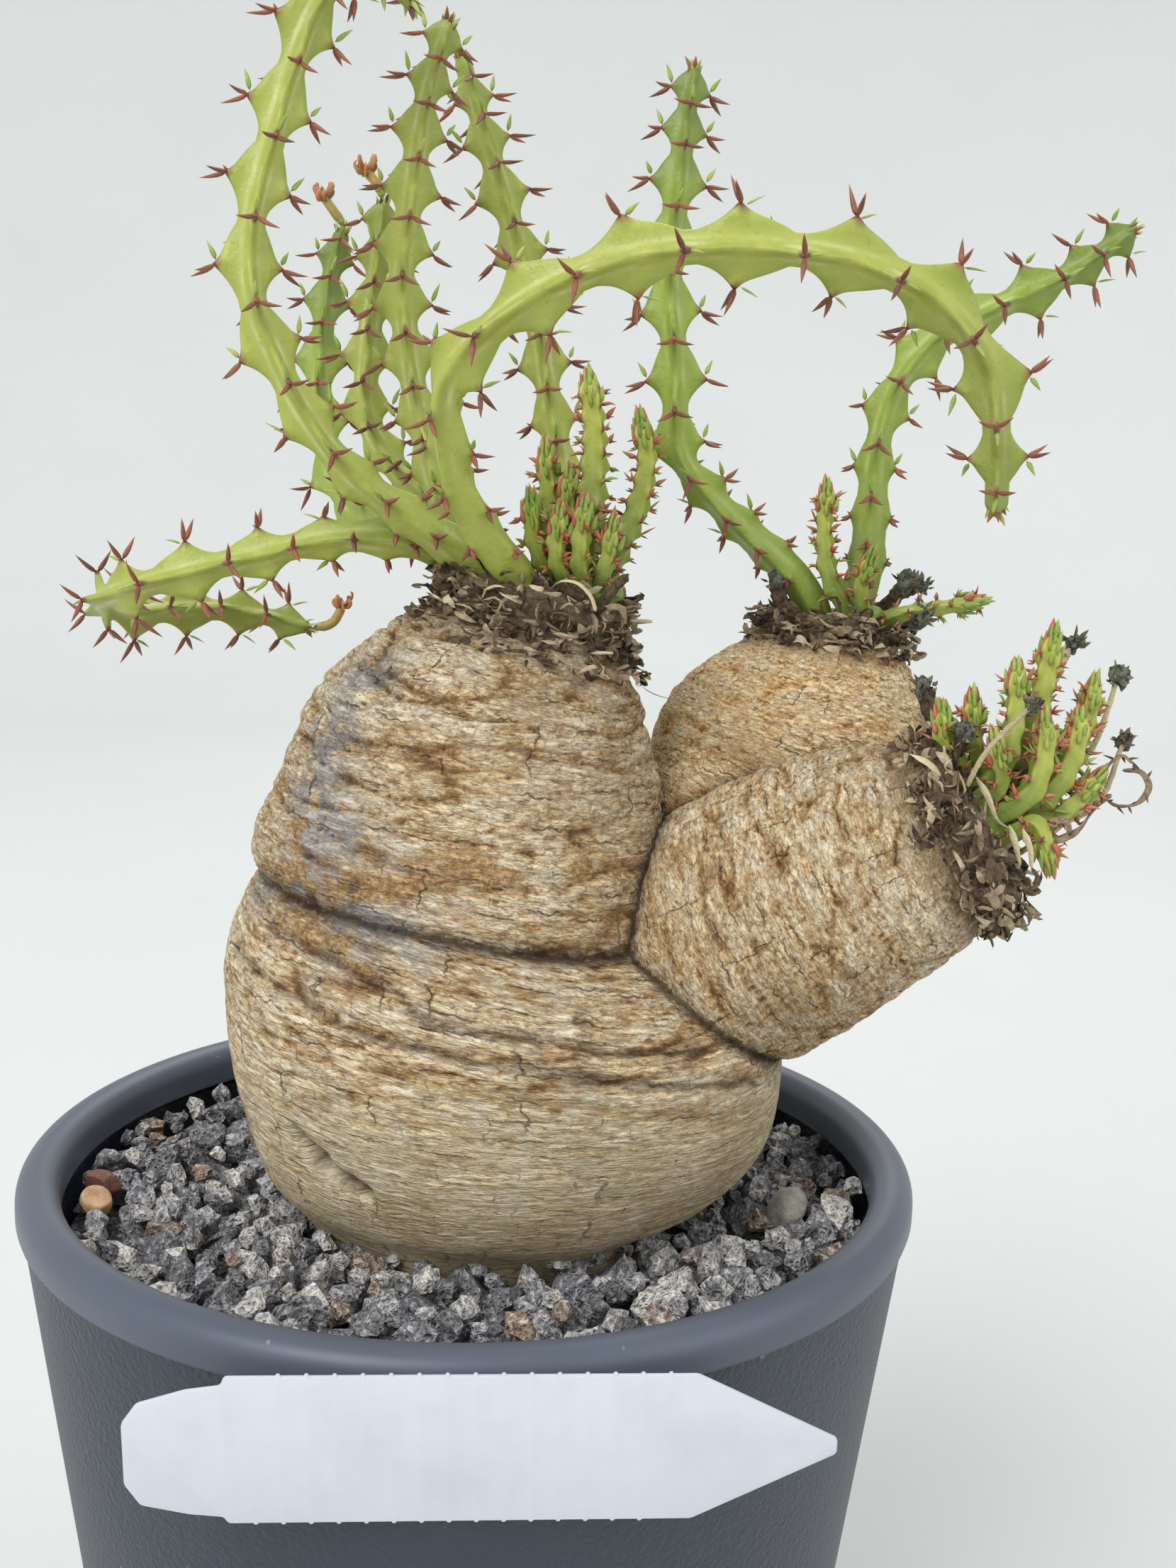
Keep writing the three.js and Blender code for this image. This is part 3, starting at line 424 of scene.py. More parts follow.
def spline(points, per_span=12, power=0.5):
    """A smooth line through points. Power 0.5 keeps an even pace between uneven points, and 0
    ignores the gaps between them."""
    points = np.array(points, float)
    ends = [2 * points[0] - points[1], *points, 2 * points[-1] - points[-2]]
    line = []
    for p0, p1, p2, p3 in zip(ends, ends[1:], ends[2:], ends[3:]):
        a, b, c = (max(np.linalg.norm(q - p), 1e-6) ** power for p, q in ((p0, p1), (p1, p2), (p2, p3)))
        leave = b * ((p1 - p0) / a - (p2 - p0) / (a + b) + (p2 - p1) / b)
        arrive = b * ((p2 - p1) / b - (p3 - p1) / (b + c) + (p3 - p2) / c)
        for t in np.arange(per_span) / per_span:
            line.append(
                (2 * t**3 - 3 * t**2 + 1) * p1 + (t**3 - 2 * t**2 + t) * leave
                + (3 * t**2 - 2 * t**3) * p2 + (t**3 - t**2) * arrive)
    line.append(points[-1])
    return np.array(line)


def spaced(line, step):
    """Points at even steps along a line, with their distances from its start."""
    travelled = np.concatenate([[0], np.cumsum(np.linalg.norm(np.diff(line, axis=0), axis=1))])
    count = max(2, int(round(travelled[-1] / step)) + 1)
    distances = np.linspace(0, travelled[-1], count)
    columns = [np.interp(distances, travelled, column) for column in line.T]
    return np.stack(columns, axis=1), distances


def frames_along(points, turn, twist, distances):
    """Two axes across a line at every point, carried along it with the least turning."""
    tangents = np.gradient(points, axis=0)
    tangents /= np.linalg.norm(tangents, axis=1, keepdims=True)
    side = np.array([0.0, 1, 0]) if abs(tangents[0][0]) > 0.8 else np.array([1.0, 0, 0])
    sides = []
    for i, tangent in enumerate(tangents):
        side = unit(side - tangent * side.dot(tangent))
        angle = turn if i == 0 else twist * (distances[i] - distances[i - 1])
        side = side * math.cos(angle) + np.cross(tangent, side) * math.sin(angle)
        sides.append(side)
    sides = np.array(sides)
    return tangents, sides, np.cross(tangents, sides)


def strip(bm, points, width, thick, sides=6, step=0.6, turn=0.0, taper=1.0, roll=0.0):
    """A thin tube or ribbon along a line, drawn to a point at both ends."""
    places, distances = spaced(spline(points, 6), step)
    _, side, up = frames_along(places, turn, roll, distances)
    along = distances / distances[-1]
    slim = np.minimum(1, 4 * along + 0.02) * (1 - taper * along**2)
    slim[0] = slim[-1] = 0
    angles = once_round(sides)[None, :, None]
    rings = (places[:, None] + side[:, None] * (np.cos(angles) * (slim * width)[:, None, None])
             + up[:, None] * (np.sin(angles) * (slim * thick)[:, None, None]))
    return rolled_tube(bm, rings)


def leaning_frame(lean, towards):
    """The axes across, along and out of a crown that leans by an angle towards a direction."""
    lean, towards = math.radians(lean), math.radians(towards)
    across = (math.cos(lean) * math.cos(towards), math.cos(lean) * math.sin(towards), -math.sin(lean))
    along = (-math.sin(towards), math.cos(towards), 0)
    out = (math.sin(lean) * math.cos(towards), math.sin(lean) * math.sin(towards), math.cos(lean))
    return np.array([across, along, out])


# %% [markdown]
# The pot is injection-moulded plastic: a smooth semi-gloss bead for a rim, and a body with a
# fine leather grain that breaks up reflections. Its section is spun round once. The flat rim
# underside, the recessed foot and the centre pad follow the solid, and five drain holes are
# cut through the floor.

# %% Pot
POT_HEIGHT, RIM_RADIUS, RIM_ROUND, RIM_DROP = 112, 60, 2.8, 5.4
WALL_TOP, WALL_SLOPE, WALL, FLOOR = 59.2, 0.131, 2.6, 3.2
FOOT_RECESS, FOOT_WIDTH, CENTRE_PAD = 1.5, 5, 8
DRAIN_COUNT, DRAIN_RADIUS, DRAIN_CIRCLE = 5, 3.5, 25
# The rim is painted lighter than the body of the same plastic: painted light on the rim
RIM_COLOURS_PAINTED_LIGHTER = (78, 84, 97), (86, 92, 105)
BODY_COLOURS = (33, 41, 53), (39, 47, 60)


def wall_radius(height):
    return WALL_TOP - WALL_SLOPE * (POT_HEIGHT - RIM_DROP - height)


def pot_section():
    """The section as distances and heights, from the underside round the rim to the floor."""
    bead = (RIM_RADIUS - RIM_ROUND, POT_HEIGHT - RIM_ROUND)
    arc = []
    for step in range(17):
        angle = math.pi * step / 16
        arc.append((bead[0] + RIM_ROUND * math.cos(angle), bead[1] + RIM_ROUND * math.sin(angle)))
    foot = wall_radius(0)
    below = POT_HEIGHT - RIM_DROP
    body = [(wall_radius(z), z) for z in np.linspace(1.2, below - 0.5, 24)]
    inside = [(wall_radius(z) - WALL, z) for z in np.linspace(below - 1.4, FLOOR + 1, 12)]
    return [
        (0, 0), (CENTRE_PAD, 0), (CENTRE_PAD + FOOT_RECESS, FOOT_RECESS),
        (foot - FOOT_WIDTH, FOOT_RECESS), (foot - FOOT_WIDTH + FOOT_RECESS, 0), (foot - 1, 0),
        (foot - 0.3, 0.35), *body, (wall_radius(below), below), (RIM_RADIUS - 0.2, below + 0.25),
        (RIM_RADIUS, below + 0.9), *arc, (bead[0] - RIM_ROUND, below), *inside,
        (wall_radius(FLOOR) - WALL - 1, FLOOR), (0, FLOOR)]


def build_pot(material):
    bm = spun(pot_section(), 160)
    weld(bm, bm.verts)
    piece = finish_piece(bm, "moulded_pot", material, "pot_plastic", ["pot"], flat_angle=50)
    cut_drains(piece)


def cut_drains(piece):
    """Five round holes through the floor, taken out with a tool of five short bars."""
    bm = bmesh.new()
    for number in range(DRAIN_COUNT):
        angle = 2 * math.pi * number / DRAIN_COUNT
        at = (DRAIN_CIRCLE * math.cos(angle), DRAIN_CIRCLE * math.sin(angle), FLOOR / 2)
        bmesh.ops.create_cone(bm, cap_ends=True, segments=32, radius1=DRAIN_RADIUS, radius2=DRAIN_RADIUS,
                              depth=FLOOR + 3, matrix=Matrix.Translation(at))
    bmesh.ops.scale(bm, vec=(MM, MM, MM), verts=bm.verts)
    bars = object_from(bm, "drain_bars")
    cut = piece.modifiers.new("drains", "BOOLEAN")
    cut.operation = "DIFFERENCE"
    cut.solver = "EXACT"
    cut.object = bars
    drained = modified_mesh(piece)
    piece.modifiers.clear()
    piece.data = drained
    bpy.data.objects.remove(bars)
    print("drained pot faces:", len(drained.polygons))


def pot_plastic():
    material, tree, shader = new_material("grained_charcoal_plastic", 0.5, 0.55)
    mm = object_mm(tree)
    height = place(tree, "SeparateXYZ", {0: mm}).outputs["Z"]
    below = POT_HEIGHT - RIM_DROP
    body = map_range(tree, height, below - 0.2, below + 0.6, 1.0, 0.0)
    shade = blotches(tree, mm, 40, 0.3, 0.7)
    # Painted light: the rim gets lighter colours than the body
    colour = mix(tree, body, mix(tree, shade, *RIM_COLOURS_PAINTED_LIGHTER), mix(tree, shade, *BODY_COLOURS))
    specks = times(tree, blotches(tree, mm, 1.6, 0.76, 0.8, 1.0), 0.5)
    tree.links.new(map_range(tree, body, to_low=0.4, to_high=0.46), shader.inputs["Roughness"])
    tree.links.new(map_range(tree, body, to_low=0.4, to_high=0.6), shader.inputs["Specular IOR Level"])
    grain = place(tree, "TexVoronoi", {"Vector": mm, "Scale": 1.6}, feature="SMOOTH_F1")
    both = plus(tree, grain.outputs["Distance"], noise_map(tree, mm, 1.2, 4))
    dress(tree, shader, mix(tree, specks, colour, (150, 152, 150)), times(tree, both, body), 0.16)
    return material


build_pot(pot_plastic())

# %% [markdown]
# The growing mix is only seen through the drain holes, so its solid stays and gets a dark,
# crumbly, barky finish. The foam pad behind the label stays too, as pale grey foam.


# %% Growing mix and pad
def crumbly_mix():
    material, tree, shader = new_material("damp_growing_mix", 0.95, 0.2)
    lumps = blotches(tree, object_mm(tree), 2.5, 0.35, 0.65)
    dress(tree, shader, mix(tree, lumps, (38, 31, 26), (84, 68, 52)), lumps, 0.8)
    return material


def pad_foam():
    material, tree, shader = new_material("pale_pad_foam", 0.85, 0.2)
    pits = use_group(tree, PORES, Vector=object_mm(tree), Pit=0.5)
    # Painted shade: the pores are painted a darker grey
    dress(tree, shader, mix(tree, pits, (222, 224, 222), (176, 178, 178)), pits, -0.15)
    return material


for name, material in (("growing_mix", crumbly_mix()), ("label_pad", pad_foam())):
    nodes[name].data.materials.clear()
    nodes[name].data.materials.append(material)
    print("refinished", name)

# %% [markdown]
# The caudex is one swollen body of four lobes. Each lobe is a tube through a few stations, with
# the same middles, widths and leans as its solid. A voxel remesh melts the tubes into one skin,
# which keeps the sharp creases where lobes press on each other, and gives even small faces
# that can carry real wrinkles.

# %% Caudex lobes
LOBES = {
    "bulb": {"towards": 0, "rings": 15, "swell": 0.5, "stations": [
        (2.5, 0, 98.4, 23.2, 23.2, 0), (3, 0, 105, 26, 25, 0), (4.2, 0, 110.5, 32, 31, 1),
        (5.2, 0, 118, 35.8, 34.5, 2), (4.9, 0, 126, 37.6, 36.5, 4), (4.4, 0, 134, 37.6, 36.5, 8),
        (3.4, 0, 140, 34.5, 34, 11), (2.4, 0, 145, 30, 30, 13), (1.5, 0, 149, 22, 22, 13)]},
    "main": {"towards": 0, "rings": 24, "swell": 0.4, "stations": [
        (0, 0, 137, 24, 24, 13), (-1, 0, 143, 26.5, 26.5, 12), (-1.6, 0, 149, 27.6, 27.2, 11),
        (-0.9, 0, 157, 26, 25.6, 9), (0.4, 0, 166, 23.7, 23.4, 8), (1, 0, 171, 22, 21.8, 9),
        (2.6, 0.3, 176, 19, 19.2, 10), (4.3, 0.5, 180, 15.6, 15.8, 11),
        (6.4, 0.8, 183.3, 12.2, 12.2, 11.5)]},
    "back": {"towards": 25, "rings": 10, "swell": 0.3, "stations": [
        (28, 5, 138, 13, 13, 50), (34, 8, 146, 17, 17, 45), (40, 12, 154, 19, 19, 38),
        (44, 15.5, 163, 19.3, 19.3, 24), (46.5, 16.3, 171, 17.6, 17.6, 14),
        (48.2, 15.8, 177, 13.5, 13.5, 9), (49.4, 15.4, 180.9, 9, 9, 7)]},
    "side": {"towards": -18, "rings": 12, "swell": 0.4, "stations": [
        (22, -2, 136, 15, 15, 61), (30, -4.6, 141, 17.2, 17.2, 61), (38, -7.3, 146, 17.6, 17.6, 61),
        (45, -9.5, 150.2, 17, 17, 61), (51, -11.3, 153.8, 15.8, 15.8, 61),
        (57, -13.2, 157.2, 13.6, 13.6, 61), (61.2, -14.5, 159.5, 11.9, 11.9, 61)]},
}
ROOT = [(64, 0.1), (64, 13), (88, 20.5), (100, 23.5), (100, 0.1)]
ROOT_AT = (2.5, 0)
VOXEL = 0.66
SIDES = 96


def lobe_rows(lobe, per_span=10):
    """Rows of centre, half width, half depth and lean, with the three axes of each ring."""
    rows = spline(lobe["stations"], per_span, power=0)
    axes = np.array([leaning_frame(row[5], lobe["towards"]) for row in rows])
    return rows, axes


def lobe_tube(bm, lobe):
    rows, axes = lobe_rows(lobe)
    angles = once_round(SIDES)
    cad_ring = np.linspace(0, lobe["rings"] - 1, len(rows))[:, None]
    lump = lobe["swell"] * np.sin(2 * angles + 0.35 * cad_ring) * np.cos(3 * angles + 0.5 * cad_ring)
    lump[0] = lump[-1] = 0
    rings = (rows[:, None, :3]
             + axes[:, None, 0] * ((rows[:, 3:4] + lump) * np.cos(angles))[..., None]
             + axes[:, None, 1] * ((rows[:, 4:5] + lump) * np.sin(angles))[..., None])
    first, last = (np.repeat(rows[i, None, None, :3], SIDES, axis=1) for i in (0, -1))
    rolled_tube(bm, np.concatenate([first, rings, last]))


def melted_lobes():
    bm = bmesh.new()
    for lobe in LOBES.values():
        lobe_tube(bm, lobe)
    weld(bm, bm.verts)
    bmesh.ops.recalc_face_normals(bm, faces=bm.faces)
    body = object_from(bm, "lobes")
    remesh = body.modifiers.new("melt", "REMESH")
    remesh.mode = "VOXEL"
    remesh.voxel_size = VOXEL
    melted = modified_mesh(body)
    bpy.data.objects.remove(body)
    bm = bmesh.new()
    bm.from_mesh(melted)
    soften(bm, bm.verts, 3)
    print("melted skin:", len(bm.verts), "points")
    return bm


# %% [markdown]
# Every wrinkle runs round its own lobe, so each point of the skin is told where it lies: on
# which lobe, how far along it, at which angle round it, and how near the next lobe is. The
# relief below is written in those terms, and the finish reads them too, as an attribute.


# %% Places on the skin
def places_on(lobe, points):
    """Angle round a lobe, distance along its surface and off it, and the length of the lobe."""
    rows, axes = lobe_rows(lobe, 8)
    step = np.linalg.norm(np.diff(rows[:, :3], axis=0), axis=1)
    slant = np.hypot(step, np.diff(rows[:, 3]))
    surface = np.concatenate([[0], np.cumsum(slant)])
    pace = np.clip(np.append(slant / np.maximum(step, 0.05), 1), 1, 4)
    away = points[:, None] - rows[None, :, :3]
    across, along, height = (np.einsum("nrc,rc->nr", away, axes[:, i]) for i in range(3))
    radius = np.hypot(across / rows[:, 3], along / rows[:, 4])
    score = np.abs(height) + 30 * np.clip(np.abs(radius - 1) - 0.25, 0, None)
    best = score.argmin(axis=1)
    pick = (np.arange(len(points)), best)
    end = np.clip(height[pick], -1, 1)
    beyond = np.maximum(np.abs(height[pick]) - 1, 0)
    off = np.hypot((radius[pick] - 1) * rows[best, 3] / pace[best], beyond)
    return np.arctan2(along[pick], across[pick]), surface[best] + end * pace[best], off, surface[-1]


def cloud(points, widths, seed=0):
    """Smooth noise between about -1 and 1 whose lumps have these widths in millimetres."""
    scaled = points / np.array(widths) + seed * 17.3
    return np.array([noise.noise(Vector(p)) for p in scaled])


def snapped(points, line):
    """The points of the skin that lie nearest to a line."""
    return np.array([points[np.linalg.norm(points - spot, axis=1).argmin()] for spot in line])


def off_line(points, line, per_span=8):
    """Distance of every point from a smooth line that is laid on the skin."""
    line = snapped(points, spline(line, per_span))
    best = np.full(len(points), 1e9)
    for a, b in zip(line, line[1:]):
        run = b - a
        t = np.clip((points - a) @ run / max(run @ run, 1e-9), 0, 1)
        best = np.minimum(best, np.linalg.norm(points - (a + t[:, None] * run), axis=1))
    return best


# %% [markdown]
# The relief. The main lobe is the most wrinkled, in bands about 4 mm apart that waver and
# break into plates. The bulb is smoother, with two long grooves below its girdle, two knots
# beside them, and a scar with a pit at the left in front. The side and back lobes have finer
# rings; the back lobe, and the side lobe a little, get a paler skin as painted light. Lobes
# bulge a little where they meet, and the crease between them is cut deeper. The crease, the
# grooves, the scar with its pit and the hollows round the knots are painted dark as painted
# shade. Depths and widths are in millimetres.

# %% Relief
# For each lobe the height and pitch of its folds, and of its wrinkles
RELIEF = {
    "bulb": (0.38, 4.2, 0.2, 1.6),
    "main": (0.85, 4.6, 0.52, 1.7),
    "back": (0.36, 3.2, 0.36, 1.5),
    "side": (0.32, 3.2, 0.42, 1.5),
}
GROOVES = [
    [(-30, -12, 142.5), (-25.3, -21.1, 141.5), (-18.9, -28.3, 139.4), (-11.3, -32.9, 137.6),
     (-3.9, -35.2, 136.5), (4.2, -36.2, 135.3), (14.3, -35.1, 133.4), (24, -30.8, 131), (35.2, -20.3, 128)],
    [(-25.3, -17.2, 146.9), (-17.3, -26.3, 145), (-9.6, -31, 143), (-5.8, -33.3, 140.1),
     (0.5, -34.6, 138.9), (8.7, -34.3, 137.7), (18.2, -31.7, 135.4), (28.5, -24.2, 133.4)],
]
SCAR = [(-21.7, -24, 123), (-18.7, -26.2, 120.1), (-16.7, -27.4, 118.4), (-13.2, -29.7, 117.2)]
SCAR_PIT = (-18.4, -26.4, 119.6)
KNOTS = [((12, -32.1, 139.4), 1.5), ((11.5, -34.6, 135.9), 1.0)]
CREASE_DEPTH, CREASE_WIDTH = 0.8, 1.1
ROLL_HEIGHT, ROLL_AT, ROLL_WIDTH = 0.35, 4, 2.6
GROOVE_DEPTH, GROOVE_WIDTH = 0.62, 0.55
LIP_HEIGHT, LIP_AT, LIP_WIDTH = 0.22, 1.9, 1.1
SCAR_DEPTH, SCAR_WIDTH = 2.4, 1.15
PIT_DEPTH, PIT_WIDTH = 1.6, 1.7
# How much painted light each lobe gets, as a paler, creamier skin
PAINTED_LIGHT_SHARE = {"bulb": 0.0, "main": 0.0, "back": 1.0, "side": 0.15}


def marks_in_skin(points):
    """Grooves, scar, pit and knots: how far they move each point, and how much painted shade each gets."""
    move = np.zeros(len(points))
    groove = np.zeros(len(points))
    for line in GROOVES:
        distance = off_line(points, line) + 0.4 * cloud(points, (3, 3, 3), 6)
        groove = np.maximum(groove, bell(distance, GROOVE_WIDTH))
        move += LIP_HEIGHT * bell(distance - LIP_AT, LIP_WIDTH)
    scar = bell(off_line(points, SCAR, 6) + 0.5 * cloud(points, (2, 2, 2), 9), SCAR_WIDTH)
    scar *= smooth_step(-23, -19.5, points[:, 0])
    pit = np.linalg.norm(points - snapped(points, [SCAR_PIT]), axis=1)
    pit += 0.4 * cloud(points, (1.5, 1.5, 1.5), 10)
    move -= GROOVE_DEPTH * groove + SCAR_DEPTH * scar + PIT_DEPTH * bell(pit, PIT_WIDTH)
    scar = np.maximum(scar, bell(pit, 1.6))
    knot = np.zeros(len(points))
    for middle, size in KNOTS:
        distance = np.linalg.norm((points - np.array(middle)) * (1, 1, 1.7), axis=1) / size
        move += 0.9 * bell(distance - 0.9, 0.45) + 0.2 * bell(distance, 0.5)
        knot = np.maximum(knot, bell(distance - 0.5, 0.3))
    return move, groove, scar, knot


def relief(points):
    """How far each point moves outwards, and the masks that the finish reads."""
    found = {name: places_on(lobe, points) for name, lobe in LOBES.items()}
    off = np.array([found[name][2] for name in LOBES])
    owner = off.argmin(axis=0)
    second = np.sort(off, axis=0)[1]
    angle, along, last = (np.choose(owner, [found[name][i] for name in LOBES]) for i in (0, 1, 3))
    grain = np.stack([GRAIN_RADIUS * np.cos(angle), GRAIN_RADIUS * np.sin(angle), along + 37 * owner], axis=1)
    waver = 1.5 * cloud(grain, (15, 15, 8)) + 0.5 * cloud(grain, (5, 5, 4), 1)
    wavy = grain + np.stack([0 * waver, 0 * waver, waver], axis=1)
    fold_height, fold_pitch, wrinkle_height, wrinkle_pitch = (
        np.choose(owner, [RELIEF[name][i] for name in LOBES]) for i in range(4))
    stretched = wavy.copy()
    stretched[:, 2] = wavy[:, 2] / fold_pitch
    folds = np.abs(cloud(stretched, (22, 22, 1), 2))
    stretched[:, 2] = wavy[:, 2] / wrinkle_pitch
    wrinkles = np.abs(cloud(stretched, (9, 9, 1), 3))
    bulb = owner == 0
    calm = np.where(bulb, 0.25 + 0.75 * smooth_step(121, 137, points[:, 2]), 1)
    rough = np.where(owner == 1, 0.55 + 0.45 * smooth_step(143, 152, points[:, 2]), 1)
    dead = np.where(bulb, 0, smooth_step(last - 7, last - 1, along))
    height = calm * rough * (fold_height * (0.5 - np.exp(-folds / 0.12))
                             + wrinkle_height * (0.4 - np.exp(-wrinkles / 0.14)))
    crease = bell(second, CREASE_WIDTH)
    roll = bell(second - ROLL_AT, ROLL_WIDTH) * (owner != 0)
    marks, groove, scar, knot = marks_in_skin(points)
    crumble = 0.45 * cloud(points, (1.7, 1.7, 1.2), 7) + 0.3 * cloud(points, (0.9, 0.9, 0.9), 8)
    move = (height + 0.25 * cloud(points, (11, 11, 9), 5) - CREASE_DEPTH * crease + ROLL_HEIGHT * roll
            + marks + dead * crumble)
    hollow = calm * (0.62 * np.exp(-folds / 0.07) + 0.45 * np.exp(-wrinkles / 0.09))
    masks = {"hollow": np.clip(hollow, 0, 1), "dead": dead, "calm": np.where(bulb, 1 - calm, 0),
             # painted shade: the crease between lobes, the grooves, the scar with its pit and the hollows
             # round the knots
             "painted_shade": np.clip(np.maximum.reduce([crease, 0.8 * groove, scar, 0.85 * knot]), 0, 1),
             # painted light: the back and side lobes, which the main lobe shades, get a paler skin
             "painted_light": np.choose(owner, [PAINTED_LIGHT_SHARE[name] for name in LOBES])}
    return move, grain, masks


# %% [markdown]
# Stains are placed one by one. Most are soft balls in space: blue-grey weathering down the
# left of the main lobe, and warmer tan to the right. Rusty crusts run along two bands above
# the girdle. Noise in the finish breaks their edges up.

# %% Stains
STAINS = {
    "grey": [((-14, -12, 177), 5), ((-18, -13, 170), 6), ((-20, -16, 164), 5.5), ((-18, -20, 158.5), 6),
             ((-22, -17, 152.5), 4), ((-13, -25, 149), 5.5), ((-7, -27, 147), 3.5), ((-25, -10, 149), 4)],
    "rust": [((12.6, -22, 156), 2.2), ((-21, -16, 158), 2.4)],
    "tan": [((18, -14, 166), 8), ((20, -15, 156), 7), ((16, -20, 150), 6), ((8, -19, 176), 5),
            ((38, -23, 140), 7), ((30, -22, 120), 8), ((34, -2, 168), 5), ((9, -33, 113), 6),
            ((22, -28, 112), 6), ((-8, -31, 113), 4)],
}
RUST_BANDS = [
    [(-26, -11, 153), (-20.5, -18.5, 153.6), (-16, -22, 153.5), (-12, -25, 154), (-6, -26, 155),
     (-0.7, -26, 156), (5, -25.5, 154.6)],
    [(-24, -17, 149), (-19.5, -22.5, 147.6), (-13, -27.8, 145.2)],
]


def stain_masks(points):
    masks = {}
    for name, balls in STAINS.items():
        mask = np.zeros(len(points))
        for middle, size in balls:
            mask = np.maximum(mask, bell(np.linalg.norm(points - np.array(middle), axis=1), size))
        masks[name] = mask
    for line in RUST_BANDS:
        distance = off_line(points, line) + 1.6 * cloud(points, (4, 4, 2.5), 13)
        masks["rust"] = np.maximum(masks["rust"], bell(np.clip(distance, 0, None), 1.9))
    return masks


def add_root(bm):
    """The stump that stands in the mix, below the skin."""
    profile = np.array(ROOT, float)
    angles = once_round(32)
    circle = np.stack([np.cos(angles), np.sin(angles), 0 * angles], axis=1)
    rings = circle[None] * profile[:, 1, None, None] + np.array([[[*ROOT_AT, z]] for z in profile[:, 0]])
    rolled_tube(bm, rings)


def write_masks(mesh, masks):
    for name, values in masks.items():
        layer = mesh.attributes.new(name, "FLOAT", "POINT")
        layer.data.foreach_set("value", np.ascontiguousarray(values, np.float32))


def build_caudex(material):
    bm = melted_lobes()
    bm.normal_update()
    points = np.array([v.co for v in bm.verts])
    normals = np.array([v.normal for v in bm.verts])
    move, grain, masks = relief(points)
    masks.update(stain_masks(points))
    crust = smooth_step(0.35, 0.75, masks["rust"] + 1.1 * cloud(points, (2.4, 2.4, 1.6), 11))
    crust *= smooth_step(0.1, 0.3, masks["rust"])
    masks["rust"] = crust
    move = move + crust * (0.18 + 0.3 * cloud(points, (1.5, 1.5, 1.5), 12))
    for vertex, point in zip(bm.verts, points + normals * move[:, None]):
        vertex.co = point
    soften(bm, [vertex for vertex, painted_shade in zip(bm.verts, masks["painted_shade"]) if painted_shade > 0.35], 3)
    add_root(bm)
    weld(bm, bm.verts[:][len(points):])
    extra = len(bm.verts) - len(points)
    piece = finish_piece(bm, "caudex_skin", material, "caudex_bark", ["caudex"])
    write_masks(piece.data, {name: np.append(mask, np.zeros(extra)) for name, mask in masks.items()})
    layer = piece.data.attributes.new("grain", "FLOAT_VECTOR", "POINT")
    grain = np.append(grain, np.zeros((extra, 3)), axis=0)
    layer.data.foreach_set("vector", grain.astype(np.float32).ravel())


# %% [markdown]
# The bark's finish. Its colour goes from cream on the ridges to brown in the hollows. Fine
# lines follow the wrinkles, short black cracks cross them, and the stains lie over all of it.
# The back and side lobes are painted paler as painted light, and the crease, grooves, scar and
# knot hollows are painted dark as painted shade. The same patterns feed the bump, in
# millimetres, so colour and relief agree.


# %% Bark finish
# Of each kind of cut: spread and height of its cells, its width and length, share and waver
CUTS = {
    "ticks": (2.2, 2.8, 0.1, 1.0, 0.24, 1.6),
    "splits": (6, 7, 0.19, 2.7, 0.2, 2.6),
    "seams": (6.5, 2.6, 3.4, 0.14, 0.4, 1.6),
}
# How much the painted light brightens the colour of the back and side lobes, in linear light
PAINTED_LIGHT_TINT = (1.34, 1.22, 1.08, 1)


